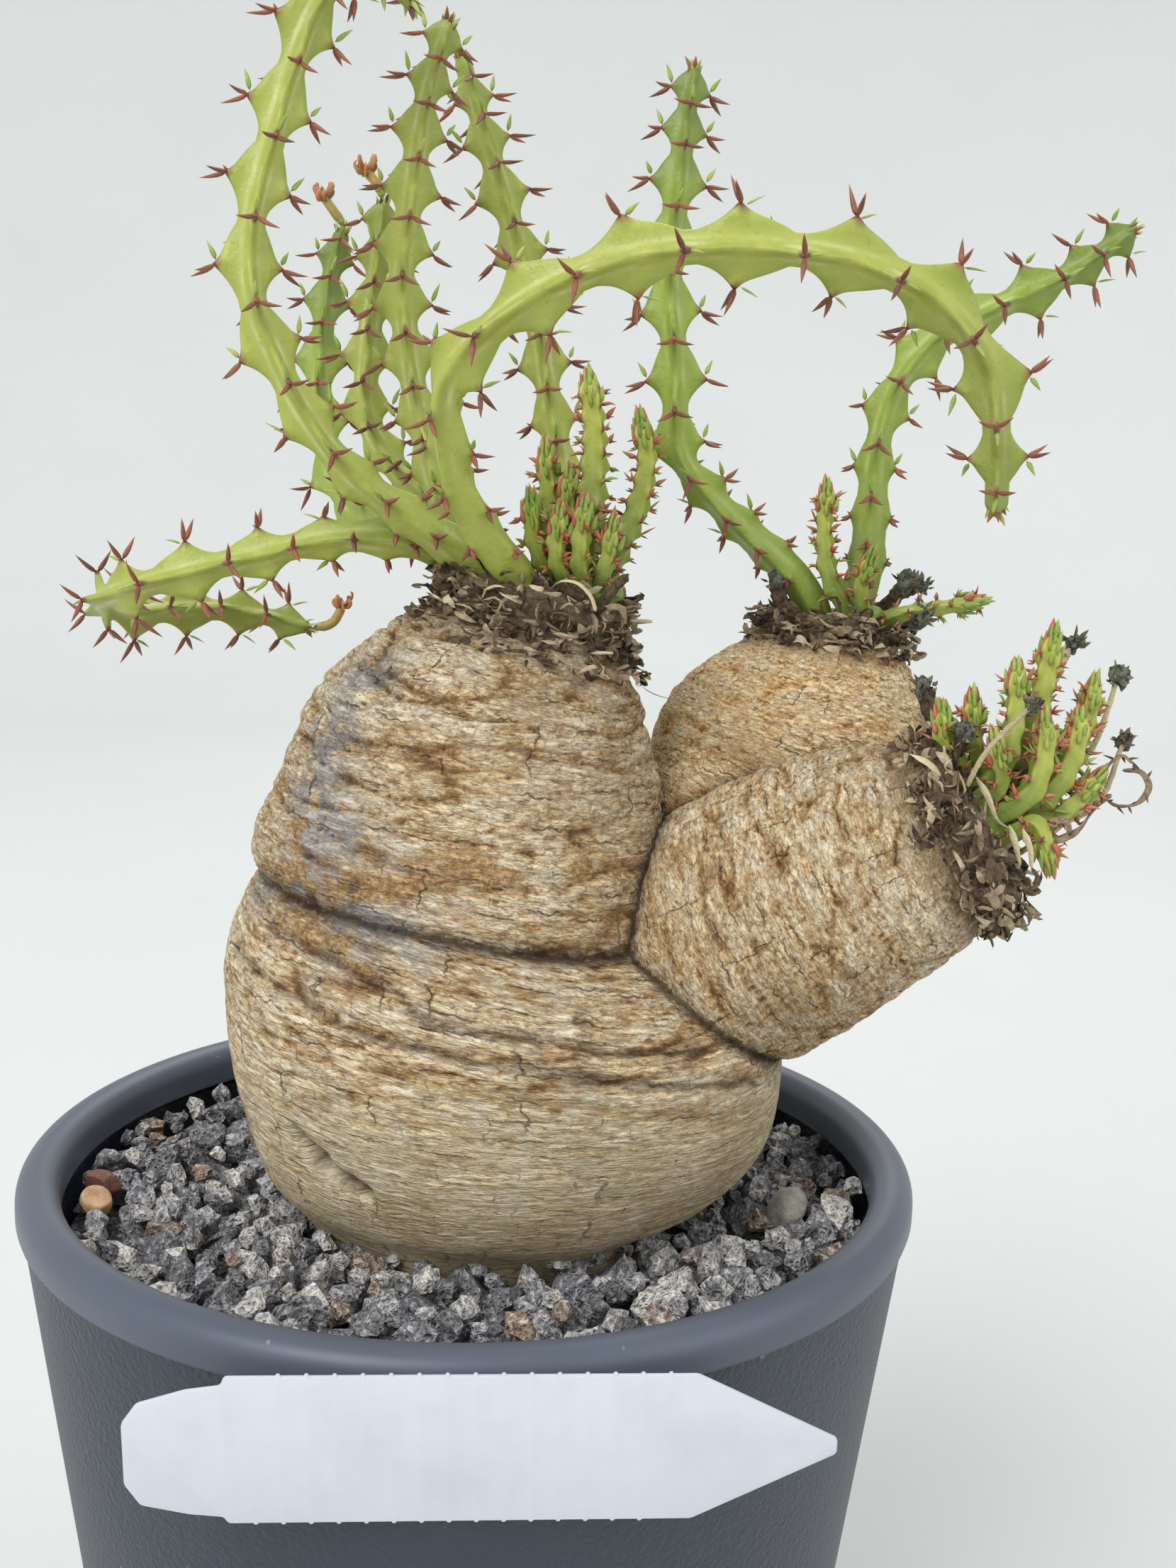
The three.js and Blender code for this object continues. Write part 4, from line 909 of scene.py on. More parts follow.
def caudex_bark():
    material, tree, shader = new_material("wrinkled_cork_bark", 0.85, 0.2)
    grain = attribute(tree, "grain", "Vector")
    mm = object_mm(tree)
    hollow, painted_shade, dead, calm, painted_light, stain_tan, stain_grey, stain_rust = (
        attribute(tree, name) for name in ("hollow", "painted_shade", "dead", "calm", "painted_light", "tan", "grey", "rust"))
    lines = noise_map(tree, stretch(tree, grain, 0.3, 0.3, 1.25), 1.0, 5, 0.62, 0.5)
    weave = noise_map(tree, stretch(tree, grain, 0.9, 0.9, 2.2), 1.0, 4, 0.65)
    flakes = noise_map(tree, stretch(tree, grain, 0.75, 0.75, 1.9), 1.0, 4, 0.68)
    middle = math_node(tree, "ABSOLUTE", minus(tree, lines, 0.5))
    thread = map_range(tree, middle, 0.0, 0.045, 1.0, 0.0)
    rougher = minus(tree, 1.0, times(tree, calm, 0.35))
    sockets = ("Spread", "Tall", "Width", "Length", "Share", "Waver")
    ticks, splits, seams = (
        use_group(tree, TICKS, Vector=grain, **dict(zip(sockets, sizes))) for sizes in CUTS.values())
    splits, seams = (times(tree, mask, rougher) for mask in (splits, seams))
    ticks = times(tree, ticks, blotches(tree, mm, 9, 0.4, 0.6))
    cuts = math_node(tree, "MAXIMUM", times(tree, splits, 0.75), times(tree, seams, 0.7))
    cuts = math_node(tree, "MAXIMUM", times(tree, ticks, 0.5), cuts)
    # The ground colour, from ridge to hollow, on rough and smooth skin, and paler as painted light
    tone = plus(tree, times(tree, lines, 0.4), times(tree, weave, 0.42))
    tone = plus(tree, times(tree, hollow, 0.48), tone)
    rough_bark = ramp(tree, tone, (0.33, 255, 247, 226), (0.46, 252, 233, 196), (0.58, 222, 189, 141),
                      (0.74, 132, 98, 62))
    smooth_bark = ramp(tree, tone, (0.3, 255, 246, 220), (0.42, 240, 225, 190), (0.54, 206, 184, 142),
                       (0.74, 132, 106, 70))
    painted_light_bark = ramp(tree, tone, (0.36, 255, 247, 222), (0.52, 255, 238, 198), (0.66, 244, 208, 152),
                     (0.82, 158, 120, 78))
    colour = mix(tree, painted_light, mix(tree, calm, rough_bark, smooth_bark), painted_light_bark)
    flaky = ramp(tree, flakes, (0.42, 255, 254, 252), (0.52, 236, 228, 218), (0.6, 168, 148, 128),
                 (0.7, 104, 84, 66))
    colour = mix(tree, times(tree, rougher, 0.85), colour, flaky, "MULTIPLY")
    # Patches that lie over it: warm, pale, tan, mossy, ashy, rusty, dying, and the fine lines
    mossy = times(tree, calm, blotches(tree, mm, 11, 0.45, 0.6))
    ashy = times(tree, stain_grey, blotches(tree, mm, 3.0, 0.36, 0.5))
    grey = ramp(tree, tone, (0.34, 212, 206, 196), (0.55, 162, 156, 150), (0.8, 90, 84, 80))
    rust = mix(tree, blotches(tree, mm, 0.7, 0.42, 0.6), (150, 112, 68), (212, 174, 120))
    patches = [
        (times(tree, blotches(tree, mm, 7, 0.42, 0.66), 0.3), (188, 154, 110)),
        (times(tree, blotches(tree, stretch(tree, mm, 1.3, 1.3, 1), 6, 0.5, 0.7), 0.4), (238, 230, 214)),
        (times(tree, stain_tan, 0.42), (168, 134, 92)),
        (times(tree, mossy, 0.35), (178, 172, 134)),
        (times(tree, ashy, 1.3, clamp=True), grey),
        (times(tree, stain_rust, 0.85), rust),
        (times(tree, dead, 0.75), mix(tree, weave, (86, 70, 54), (170, 146, 112))),
        (times(tree, thread, times(tree, rougher, 0.6)), (100, 74, 50)),
    ]
    for mask, patch in patches:
        colour = mix(tree, mask, colour, patch)
    # Painted light: the colour of the back and side lobes is brightened
    colour = mix(tree, painted_light, colour, PAINTED_LIGHT_TINT, "MULTIPLY")
    colour = mix(tree, cuts, colour, (62, 46, 34))
    # Painted shade: the crease, grooves, scar, pit and knot hollows are painted dark brown
    colour = mix(tree, times(tree, painted_shade, 0.9), colour, (50, 36, 25))
    height = minus(tree, times(tree, weave, 0.5), times(tree, flakes, times(tree, rougher, 0.5)))
    height = plus(tree, height, times(tree, middle, times(tree, rougher, 3.0)))
    dress(tree, shader, colour, minus(tree, height, times(tree, cuts, 0.5)), 0.8)
    return material


build_caudex(caudex_bark())

# %% [markdown]
# The stems are four-ribbed. Each rib is a wavy wing whose teeth lean back towards the crown:
# a hollow curve below the tooth, a rounded shoulder above it. Opposite ribs carry their teeth
# level, the other two half a step further on. A tooth ends in a brown horny shield with two
# long spines and one small green leaf. The paths and the seeded rule that spaces the teeth
# are the same as those of the solids, so each stem lies on its own solid.

# %% Crowns and stems
GAP = 0.35
CROWNS = {
    "main": {"at": (6.4, 0.8, 183.3), "lean": 11.5, "towards": 0, "radius": 11.8, "height": 5.4},
    "back": {"at": (49.4, 15.4, 180.9), "lean": 7, "towards": 25, "radius": 9.2, "height": 2.8},
    "side": {"at": (61.2, -14.5, 159.5), "lean": 61, "towards": -18, "radius": 11.6, "height": 3.6},
}
NECK, TOOTH, SPINE_LENGTH = 1.55, 2.8, 3.4
TWIST_PER_MM, TIP_LENGTH, STEM_BARE, TOOTH_GROWTH = 0.006, 22, 7.5, 34
FOOT_SWELL, FOOT_LENGTH = 0.42, 30
LEAN_BACK = 0.32
RING_STEP = 0.36
PITCHES = (7, 10, 5.5)
GOLDEN_TURN = 2.4
PLANT_LAYERS = ("rib", "horn", "tip", "leaf", "blush", "streak")
STEMS = {
    "stem_left_tall": {"crown": "main", "seed": 21, "path": [
        (1, -4, 190), (-3, -5, 193), (-9, -7, 197), (-16, -9, 202), (-21, -10, 208), (-25, -10, 215),
        (-28, -10, 223), (-28, -9, 232), (-26, -7, 241), (-24, -5, 249), (-21, -4, 257),
        (-17, -3, 262), (-12, -2, 262), (-9, -1, 258)]},
    "stem_middle_left": {"crown": "main", "seed": 22, "turn": -0.2, "pitches": (6.5, 7.5, 5), "path": [
        (4, 3, 189), (1, 4, 193), (-5, 6, 199), (-8, 8, 208), (-10, 9, 218), (-11, 9, 227),
        (-10, 9, 237), (-8, 9, 250), (-5, 9, 260)]},
    "stem_middle_right": {"crown": "main", "seed": 23, "turn": -0.45, "pitches": (6.5, 8, 5), "path": [
        (10, 8, 188), (11, 13, 195), (11, 18, 203), (9, 21, 214), (7, 23, 225), (4, 24, 235),
        (0, 24, 247), (-4, 24, 259)]},
    "stem_back_left": {"crown": "main", "seed": 24, "turn": 1.6, "path": [
        (-1, 5, 190), (-6, 9, 193), (-12, 14, 195), (-18, 22, 197), (-22, 30, 203), (-24, 36, 212),
        (-24, 39, 221), (-23, 41, 230), (-21, 41, 238)],
        "flower": [(-22.5, 41, 240), (-24, 41.5, 242)]},
    "stem_back_middle": {"crown": "main", "seed": 25, "turn": -0.4, "pitches": (6.5, 7.5, 5), "path": [
        (4, 8, 189), (0, 11, 193), (-6, 14, 198), (-12, 17, 203), (-16, 20, 210), (-16, 21, 219),
        (-15, 21, 229), (-14, 20, 239)],
        "flower": [(-15, 20, 241), (-16.5, 20.5, 242.5)]},
    "stem_front_arch": {"crown": "main", "seed": 26, "thick": 1.12, "turn": -0.75, "pitches": (7, 12, 6),
        "path": [
            (5, -7, 189), (2, -10, 193), (-2, -14, 199), (-4, -18, 206), (-4, -21, 213), (0, -24, 218),
            (7, -28, 223), (18, -30, 227), (30, -30, 228), (42, -28, 227), (52, -26, 223),
            (58, -25, 216), (60, -24, 207), (61, -22, 199)]},
    "stem_left_hairpin": {"crown": "main", "seed": 27, "turn": 0, "path": [
        (-1, 0, 190), (-5, -1, 193), (-11, -2, 194), (-18, -1, 194), (-30, 0, 191), (-41, 0, 188),
        (-47, 4, 186), (-51, 12, 184), (-49, 20, 182), (-41, 29, 182), (-33, 33, 181), (-25, 34, 179)],
        "flower": [(-22, 34, 180), (-20.5, 34, 182.5)]},
    "stem_back_crown_left": {"crown": "back", "seed": 28, "turn": 1.15, "pitches": (6.5, 8.5, 5), "path": [
        (47, 14, 184), (44, 13, 189), (37, 10, 195), (31, 7, 200), (26, 5, 206), (25, 5, 217),
        (24, 7, 229), (25, 9, 241), (26, 11, 250), (27, 12, 256)]},
    "stem_back_crown_right": {"crown": "back", "seed": 29, "turn": -0.35, "pitches": (6.5, 9, 5), "path": [
        (53, 17, 184), (54, 16, 190), (54, 14, 199), (54, 12, 208), (56, 11, 216), (61, 11, 222),
        (70, 10, 227), (78, 9, 231), (86, 7, 237)]},
}
# Stems with a darker, greener end, as on those that are growing now
GREEN_TIPS = ("stem_back_crown_left", "stem_back_crown_right", "stem_back_left")


def draws(seed):
    """The endless row of random numbers that the solids use too."""
    full = 0xFFFFFFFF
    state = seed
    while True:
        state = (state + 0x6D2B79F5) & full
        t = ((state ^ (state >> 15)) * (state | 1)) & full
        t ^= (t + (((t ^ (t >> 7)) * (t | 61)) & full)) & full
        yield ((t ^ (t >> 14)) & full) / 2**32


def tooth_rows(length, pitches, bare, growth, tooth, seed):
    """Distance, pair of ribs, height and spine share of every row of teeth."""
    random = draws(seed)
    rows = []
    travelled, pair = bare, 0
    while travelled < length - 2:
        opening = float(smooth_step(bare, bare + growth, travelled))
        closing = float(smooth_step(length - TIP_LENGTH, length - 4, travelled))
        pitch = pitches[0] + (pitches[1] - pitches[0]) * opening
        pitch += (pitches[2] - pitch) * closing
        travelled += 0.5 * pitch * (0.94 + 0.12 * next(random))
        height = tooth * (0.3 + 0.7 * opening) * (1 - 0.3 * closing)
        if travelled < length - 1:
            rows.append((travelled, pair, height, opening))
        pair = 1 - pair
    return rows


def rib_height(distances, teeth):
    """Height of one rib along a stem: a long hollow curve up to each tooth, a shoulder after it."""
    spots = np.array([tooth[0] for tooth in teeth])
    room = np.diff(spots, prepend=spots[0] - 6, append=spots[-1] + 5)
    height = np.full(len(distances), 0.15)
    for number, (spot, _, tall, _) in enumerate(teeth):
        before = np.clip(1 - (spot - distances) / (0.6 * room[number]), 0, 1) ** 2.1
        after = np.clip((distances - spot) / (0.44 * room[number + 1]), 0, 1)
        shoulder = 0.4 * np.exp(-9 * after) + 0.6 * (1 - after**1.7) - 0.4 * math.exp(-9)
        height = np.maximum(height, tall * np.where(distances <= spot, before, shoulder))
    return height


RIB_OFFSETS = np.radians([-45, -26, -13, -5, 0, 5, 13, 26])


def toothed_stem(bm, line, shape):
    """Adds the ribbed body of a stem; returns its teeth, and the places and aims of its rings."""
    places, distances = spaced(line, RING_STEP)
    length = distances[-1]
    tangents, sides, ups = frames_along(places, shape["turn"], TWIST_PER_MM, distances)
    rows = tooth_rows(length, shape["pitches"], shape["bare"], shape["growth"], shape["tooth"], shape["seed"])
    neck = shape["neck"] * (1 + shape["swell"] * (1 - smooth_step(12, FOOT_LENGTH, distances)))
    neck = neck * (1 - 0.3 * smooth_step(length - TIP_LENGTH, length, distances))
    close = np.sqrt(np.clip((length - distances) / 1.6, 0, 1))
    heights = [rib_height(distances, [row for row in rows if row[1] == pair]) for pair in (0, 1)]
    angles = np.concatenate([rib * math.pi / 2 + RIB_OFFSETS for rib in range(4)])
    near = np.tile(RIB_OFFSETS, 4)
    pair_of = np.repeat([0, 1, 0, 1], len(RIB_OFFSETS))
    height = np.stack([heights[pair] for pair in pair_of], axis=1)
    thin = 20 + 14 * height / shape["tooth"]
    wing = height * np.cos(near) ** thin
    radius = (neck[:, None] * (0.93 + 0.07 * np.cos(4 * near)) + wing) * close[:, None]
    around = sides[:, None] * np.cos(angles)[None, :, None] + ups[:, None] * np.sin(angles)[None, :, None]
    rings = places[:, None] + around * radius[..., None] - tangents[:, None] * (LEAN_BACK * wing)[..., None]
    first = np.repeat(places[:1, None], len(angles), axis=1)
    verts = rolled_tube(bm, np.concatenate([first, rings, first * 0 + places[-1]]))
    rib, shield, tip, streak = (bm.verts.layers.float[name] for name in ("rib", "horn", "tip", "streak"))
    spots = np.array([row[0] for row in rows])
    columns = len(angles) + 1
    tooth_gap = np.abs(distances[:, None] - spots[None, :] + 0.1)
    for index, vert in enumerate(verts):
        row, column = divmod(index, columns)
        row, column = min(max(row - 1, 0), len(places) - 1), column % len(angles)
        vert[rib] = wing[row, column] / shape["tooth"]
        vert[streak] = 1 if near[column] < -0.7 else 0.3 if abs(near[column]) > 0.4 else 0
        edge = 1 - 11 * abs(near[column])
        own = [gap for gap, tooth in zip(tooth_gap[row], rows) if tooth[1] == pair_of[column]]
        if edge > 0:
            vert[shield] = max(0.24 * edge, (0.4 + 0.6 * edge) * (1.35 - min(own) / 0.8), 0)
        vert[tip] = distances[row] / length
    teeth = []
    for spot, pair, tall, opening in rows:
        i = int(np.argmin(np.abs(distances - spot)))
        for rib_number in (pair, pair + 2):
            angle = rib_number * math.pi / 2
            out = sides[i] * math.cos(angle) + ups[i] * math.sin(angle)
            point = places[i] + out * (neck[i] + tall) - tangents[i] * LEAN_BACK * tall
            teeth.append({"at": point, "out": out, "onward": tangents[i], "aside": np.cross(tangents[i], out),
                          "opening": opening, "along": spot, "left": length - spot})
    return teeth, places, tangents


def mark(bm, verts, mask, value):
    """Writes one value of a mask at some points."""
    layer = bm.verts.layers.float[mask]
    for vert in verts:
        vert[layer] = value


def blade(bm, at, aim, width, thick, mask, value=1.0, bend=0.0, turn=0.0, sides=5):
    """A spine or a small leaf, from a point along an aim, with an optional droop."""
    at, aim = np.array(at), np.array(aim)
    middle = at + 0.5 * aim + np.array([0, 0, bend])
    grid = strip(bm, [at, middle, at + aim], width, thick, sides, np.linalg.norm(aim) / 5, turn)
    mark(bm, grid, mask, value)


def round_tip(onward, start, number):
    """The direction of one of the leaves that stand in a spiral round a tip."""
    side = unit(np.cross(onward, start))
    turn = GOLDEN_TURN * number
    return side * math.cos(turn) + np.cross(onward, side) * math.sin(turn)


def new_layers(bm, names):
    for name in names:
        bm.verts.layers.float.new(name)


def crown_point(crown, across, along, above):
    frame_axes = leaning_frame(crown["lean"], crown["towards"])
    return np.array(crown["at"]) + np.array([across, along, above]) @ frame_axes


def add_dried_flower(bm, tip, path, rng):
    """A short stalk that carries a dried cup, with curled bracts round it."""
    blade(bm, tip, np.array(path[0]) - tip, 0.8, 0.8, "leaf", 0.6)
    mark(bm, strip(bm, [tip, *path], 0.75, 0.75, 7, 0.4, 0, 0.1), "blush", 0.35)
    top = np.array(path[-1])
    for number in range(9):
        angle = GOLDEN_TURN * number
        spread = np.array([math.cos(angle), math.sin(angle), rng.uniform(-0.5, 0.7)])
        curl = [top, top + 0.9 * spread, top + 1.5 * spread + (0, 0, 0.9), top + 1.1 * spread + (0, 0, 1.5)]
        made = strip(bm, curl, 0.55, 0.22, 6, 0.35, angle, 0.5)
        kind = "horn" if number % 3 == 0 else "blush"
        for vert in made:
            vert[bm.verts.layers.float[kind]] = rng.uniform(0.4, 0.9)


def dress_tooth(bm, tooth, rng):
    """Two spines, and a leaf or the stub of one, at a tooth of a long stem."""
    out, onward, aside = tooth["out"], tooth["onward"], tooth["aside"]
    grown = 0.5 + 0.5 * tooth["opening"]
    long = SPINE_LENGTH * grown * rng.uniform(0.85, 1.12) if tooth["along"] > 13 else 0.9
    sunk = tooth["at"] - 0.5 * out
    for hand in (1, -1):
        aim = 0.7 * out + hand * rng.uniform(0.5, 0.75) * aside - rng.uniform(0.2, 0.4) * onward
        blade(bm, sunk, unit(aim) * (long + 0.5), 0.42, 0.36, "horn", bend=-0.12)
    if tooth["along"] > 18 and rng.random() < 0.85:
        aim = 0.85 * onward + 0.45 * out + rng.uniform(-0.2, 0.2) * aside
        blade(bm, sunk + 0.5 * onward, aim * rng.uniform(1.9, 2.9), 0.4, 0.2, "leaf", bend=0.1)
    elif rng.random() < 0.6:
        blade(bm, sunk, (0.6 * out + 0.5 * onward) * 1.2, 0.25, 0.2, "horn", 0.8)


def build_stem(name, stem, material, rng):
    crown = CROWNS[stem["crown"]]
    out = leaning_frame(crown["lean"], crown["towards"])[2]
    root = np.array(stem["path"][0]) + out * (0.6 - crown["height"])
    thick = stem.get("thick", 1)
    shape = {"neck": NECK * thick, "tooth": TOOTH * thick, "bare": STEM_BARE, "growth": TOOTH_GROWTH,
             "pitches": stem.get("pitches", PITCHES), "turn": stem.get("turn", 0), "seed": stem["seed"],
             "swell": FOOT_SWELL}
    bm = bmesh.new()
    new_layers(bm, PLANT_LAYERS)
    teeth, places, tangents = toothed_stem(bm, spline([root, *stem["path"]]), shape)
    for tooth in teeth:
        dress_tooth(bm, tooth, rng)
    tip, onward = places[-1], tangents[-1]
    for i in range(10):
        spread = round_tip(onward, (0.3, 0.2, 1), i)
        aim = onward * rng.uniform(1.2, 2) + spread * rng.uniform(0.5, 1.3)
        blade(bm, tip - onward * rng.uniform(0.6, 2.2) + 0.4 * spread, aim, 0.38, 0.2,
              "leaf" if i % 3 else "horn", bend=0.1)
    if "flower" in stem:
        add_dried_flower(bm, tip, stem["flower"], rng)
    weld(bm, bm.verts)
    finish_piece(bm, f"{name}_ribbed", material, "stem_green", [name])


# %% [markdown]
# Stem skin is waxy and thin, a yellow green that goes pale along the middle of each hollow
# face. A little light passes through, so the shader gets some subsurface. Spines and shields
# are red-brown horn, mottled lighter and darker.

# %% Stem finish
HORN = (150, 88, 66), (108, 66, 56)


def stem_skin(name, face, pale, wing, tip_green, late_from=0.72):
    material, tree, shader = new_material(name, 0.42, 0.4)
    mm = object_mm(tree)
    rib, shield, tip, leaf = (attribute(tree, key) for key in ("rib", "horn", "tip", "leaf"))
    cloudy = blotches(tree, mm, 5, 0.36, 0.64)
    speckle = blotches(tree, mm, 0.9, 0.62, 0.72, 2.0)
    streak = times(tree, attribute(tree, "streak"), blotches(tree, mm, 5, 0.4, 0.64))
    middle = mix(tree, times(tree, cloudy, 0.8), face, wing)
    middle = mix(tree, times(tree, streak, 0.7), middle, pale)
    colour = mix(tree, map_range(tree, rib, 0.02, 0.4), middle, mix(tree, cloudy, wing, face))
    # What lies over it: the foot, the growing end, leaves, specks, red parts and horn
    patches = [
        (map_range(tree, tip, 0.0, 0.3, 0.55, 0.0), wing),
        (times(tree, map_range(tree, tip, late_from), 0.75), tip_green),
        (leaf, mix(tree, cloudy, (120, 148, 58), (168, 176, 96))),
        (times(tree, speckle, 0.25), (120, 96, 60)),
        (attribute(tree, "blush"), mix(tree, cloudy, (206, 104, 98), (164, 78, 66))),
        (map_range(tree, shield, 0.15, 0.6), mix(tree, cloudy, *HORN)),
    ]
    for mask, patch in patches:
        colour = mix(tree, mask, colour, patch)
    shader.inputs["Subsurface Weight"].default_value = 0.18
    shader.inputs["Subsurface Radius"].default_value = (0.8, 1.0, 0.3)
    shader.inputs["Subsurface Scale"].default_value = 0.0012
    dress(tree, shader, colour, noise_map(tree, mm, 1.5, 4), 0.12)
    return material


STEM_SKIN = stem_skin("waxy_stem_skin", (168, 174, 82), (212, 212, 146), (140, 153, 62), (126, 137, 62))
GREEN_SKIN = stem_skin("growing_stem_skin", (148, 164, 70), (192, 198, 120), (122, 144, 56), (94, 114, 50))
rng = np.random.default_rng(5)
for name, stem in STEMS.items():
    build_stem(name, stem, GREEN_SKIN if name in GREEN_TIPS else STEM_SKIN, rng)

# %% [markdown]
# The top dressing is crushed lava: sharp, pitted stones about 4.5 to 8 mm across, with crumbs
# half that size in between. Each is a small ball cut flat by random planes. The largest go
# first, and each stone is dropped where, out of a few tries, it comes to rest lowest. A dark
# disc closes the view down to the mix.

# %% Gravel
BED_FLOOR, BED_LIMIT, BED_REACH = 99.9, 107.3, 54.9
FOOT_AT, FOOT_REACH = (3.0, 0), 24.6
BIG_STONES, CRUMBS, TRIES = 320, 520, 16
BIG_RADII, CRUMB_RADII = (2.3, 3.9), (1.2, 2.1)
# Stones touch at this share of their radii, since their flats let them nestle
NESTLE = 0.86
DISC_FOOT, DISC_HOLE = 98.6, 22.5
PEBBLES = {
    "pebble_tan": {"at": (-49.5, -8, 106.5), "size": 2.9, "colour": (206, 172, 138),
                   "other": (172, 134, 102)},
    "pebble_rust": {"at": (-50.3, -1, 105.6), "size": 2.4, "colour": (132, 92, 82), "other": (104, 68, 60)},
    "pebble_pale": {"at": (42, -10, 106), "size": 3.2, "colour": (162, 158, 148), "other": (116, 112, 106)},
}


def unit_ball(level):
    """Points and faces of an even ball, to be pushed out of round."""
    bm = bmesh.new()
    bmesh.ops.create_icosphere(bm, subdivisions=level, radius=1)
    points = np.array([v.co for v in bm.verts])
    faces = np.array([[v.index for v in f.verts] for f in bm.faces])
    bm.free()
    return points, faces


def random_turn(rng):
    axes, _ = np.linalg.qr(rng.normal(size=(3, 3)))
    return axes


def cut_stone(points, rng, cuts=7, rough=0.07):
    """The points of a ball cut flat by random planes, roughened and turned."""
    points = points * rng.uniform(0.72, 1.3, 3)
    for _ in range(cuts):
        way = unit(rng.normal(size=3))
        over = points @ way - rng.uniform(0.38, 0.8)
        points = points - np.clip(over, 0, None)[:, None] * way
    points = points + rough * rng.normal(size=points.shape)
    return points @ random_turn(rng)


def add_ball(bm, points, faces):
    """Adds the points and faces of a ball that was pushed out of round."""
    made = [bm.verts.new(point) for point in points]
    for face in faces:
        bm.faces.new([made[i] for i in face])
    return made


def resting_places(rng):
    """Middle and size of every stone, each at rest on the ones before it."""
    placed = [(*pebble["at"], pebble["size"] + 0.2) for pebble in PEBBLES.values()]
    sizes = np.concatenate([rng.uniform(*BIG_RADII, BIG_STONES), rng.uniform(*CRUMB_RADII, CRUMBS)])
    stones = []
    for size in -np.sort(-sizes):
        heap = np.array(placed)
        spots = rng.uniform(-BED_REACH, BED_REACH, (TRIES * 3, 2))
        far = np.hypot(*spots.T) > BED_REACH - NESTLE * size
        near = np.hypot(spots[:, 0] - FOOT_AT[0], spots[:, 1] - FOOT_AT[1]) < FOOT_REACH + 0.8 * size
        spots = spots[~(far | near)][:TRIES]
        if not len(spots):
            continue
        gaps = np.hypot(*(spots[:, None] - heap[None, :, :2]).transpose(2, 0, 1))
        touch = (NESTLE * (heap[None, :, 3] + size)) ** 2 - gaps**2
        levels = np.where(touch > 0, heap[None, :, 2] + np.sqrt(np.clip(touch, 0, None)), 0).max(axis=1)
        levels = np.maximum(levels, BED_FLOOR + 0.75 * size)
        lowest = levels.argmin()
        if levels[lowest] + 0.8 * size > BED_LIMIT:
            continue
        stones.append((*spots[lowest], levels[lowest], size))
        placed.append(stones[-1])
    return stones


def heap_of_stones(stones, rng):
    """One mesh of all stones, with a tone and a tint for each."""
    ball, faces = unit_ball(2)
    points, tones, tints = [], [], []
    for x, y, z, size in stones:
        points.append((x, y, z) + size * cut_stone(ball, rng, rough=0.12))
        tones.append(np.full(len(ball), rng.random()))
        tints.append(np.full(len(ball), rng.random()))
    corners = (faces[None] + len(ball) * np.arange(len(stones))[:, None, None]).reshape(-1, 3)
    mesh = bpy.data.meshes.new("heap")
    mesh.from_pydata(np.concatenate(points).tolist(), [], corners.tolist())
    write_masks(mesh, {"tone": np.concatenate(tones), "tint": np.concatenate(tints)})
    return mesh


def build_gravel(material):
    rng = np.random.default_rng(31)
    stones = resting_places(rng)
    bm = bmesh.new()
    bm.from_mesh(heap_of_stones(stones, rng))
    levels = (BED_FLOOR, BED_FLOOR, DISC_FOOT, DISC_FOOT)
    disc = np.array([[(*FOOT_AT, z) for _ in range(72)] for z in levels], float)
    angles = once_round(72)
    reach = np.array([DISC_HOLE, 0, 0, DISC_HOLE])
    ring = np.stack([np.cos(angles), np.sin(angles)], axis=1)
    disc[..., :2] += reach[:, None, None] * ring
    disc[1:3, :, :2] = (BED_REACH - 0.4) * ring
    verts = rolled_tube(bm, np.concatenate([disc, disc[:1]]))
    weld(bm, verts)
    print("stones:", len(stones))
    finish_piece(bm, "crushed_lava", material, "lava", ["lava_gravel"], flat_angle=32)


# %% Lava and pebble finish
def lava_stone():
    material, tree, shader = new_material("pitted_lava_stone", 0.88, 0.25)
    mm = object_mm(tree)
    tone, tint = attribute(tree, "tone"), attribute(tree, "tint")
    big, small = (use_group(tree, PORES, Vector=mm, Pit=size) for size in (1.5, 0.75))
    pits = plus(tree, times(tree, big, 0.6), times(tree, small, 0.35))
    grit = noise_map(tree, mm, 1.1, 4, 0.62)
    stone = ramp(tree, tone, (0.0, 146, 145, 149), (0.4, 190, 189, 192), (0.8, 216, 214, 212),
                 (1.0, 238, 235, 230))
    odd = ramp(tree, tint, (0.0, 160, 126, 108), (0.5, 132, 104, 96), (1.0, 190, 170, 146))
    stone = mix(tree, times(tree, map_range(tree, tint, 0.9, 0.93), 0.75), stone, odd)
    # Dust and painted highlights: a grainy overlay that brightens the stones in spots and darkens them in
    # others
    dust_and_highlights = ramp(tree, grit, (0.38, 66, 64, 67), (0.5, 128, 127, 129), (0.62, 214, 212, 209))
    stone = mix(tree, 0.7, stone, dust_and_highlights, "OVERLAY")
    # Painted shade: the pits of the stone are painted dark
    stone = mix(tree, times(tree, pits, 0.75, clamp=True), stone, (52, 50, 54))
    dress(tree, shader, stone, minus(tree, times(tree, grit, 0.7), pits), 0.9)
    return material


def pebble_stone(name, colour, other):
    material, tree, shader = new_material(f"{name}_stone", 0.7, 0.3)
    mm = object_mm(tree)
    mottled = mix(tree, blotches(tree, mm, 2.2, 0.36, 0.64), colour, other)
    dress(tree, shader, mottled, noise_map(tree, mm, 2.5, 5), 0.2)
    return material


build_gravel(lava_stone())
for number, (name, pebble) in enumerate(PEBBLES.items()):
    rng = np.random.default_rng(60 + number)
    ball, faces = unit_ball(4)
    shape = cut_stone(ball, rng, cuts=5, rough=0)
    shape = shape * (1 + 0.08 * cloud(shape, (0.9, 0.9, 0.9), number)[:, None])
    bm = bmesh.new()
    add_ball(bm, np.array(pebble["at"]) + pebble["size"] * shape, faces)
    soften(bm, bm.verts)
    finish_piece(bm, f"{name}_worn", pebble_stone(name, pebble["colour"], pebble["other"]), name, [name])

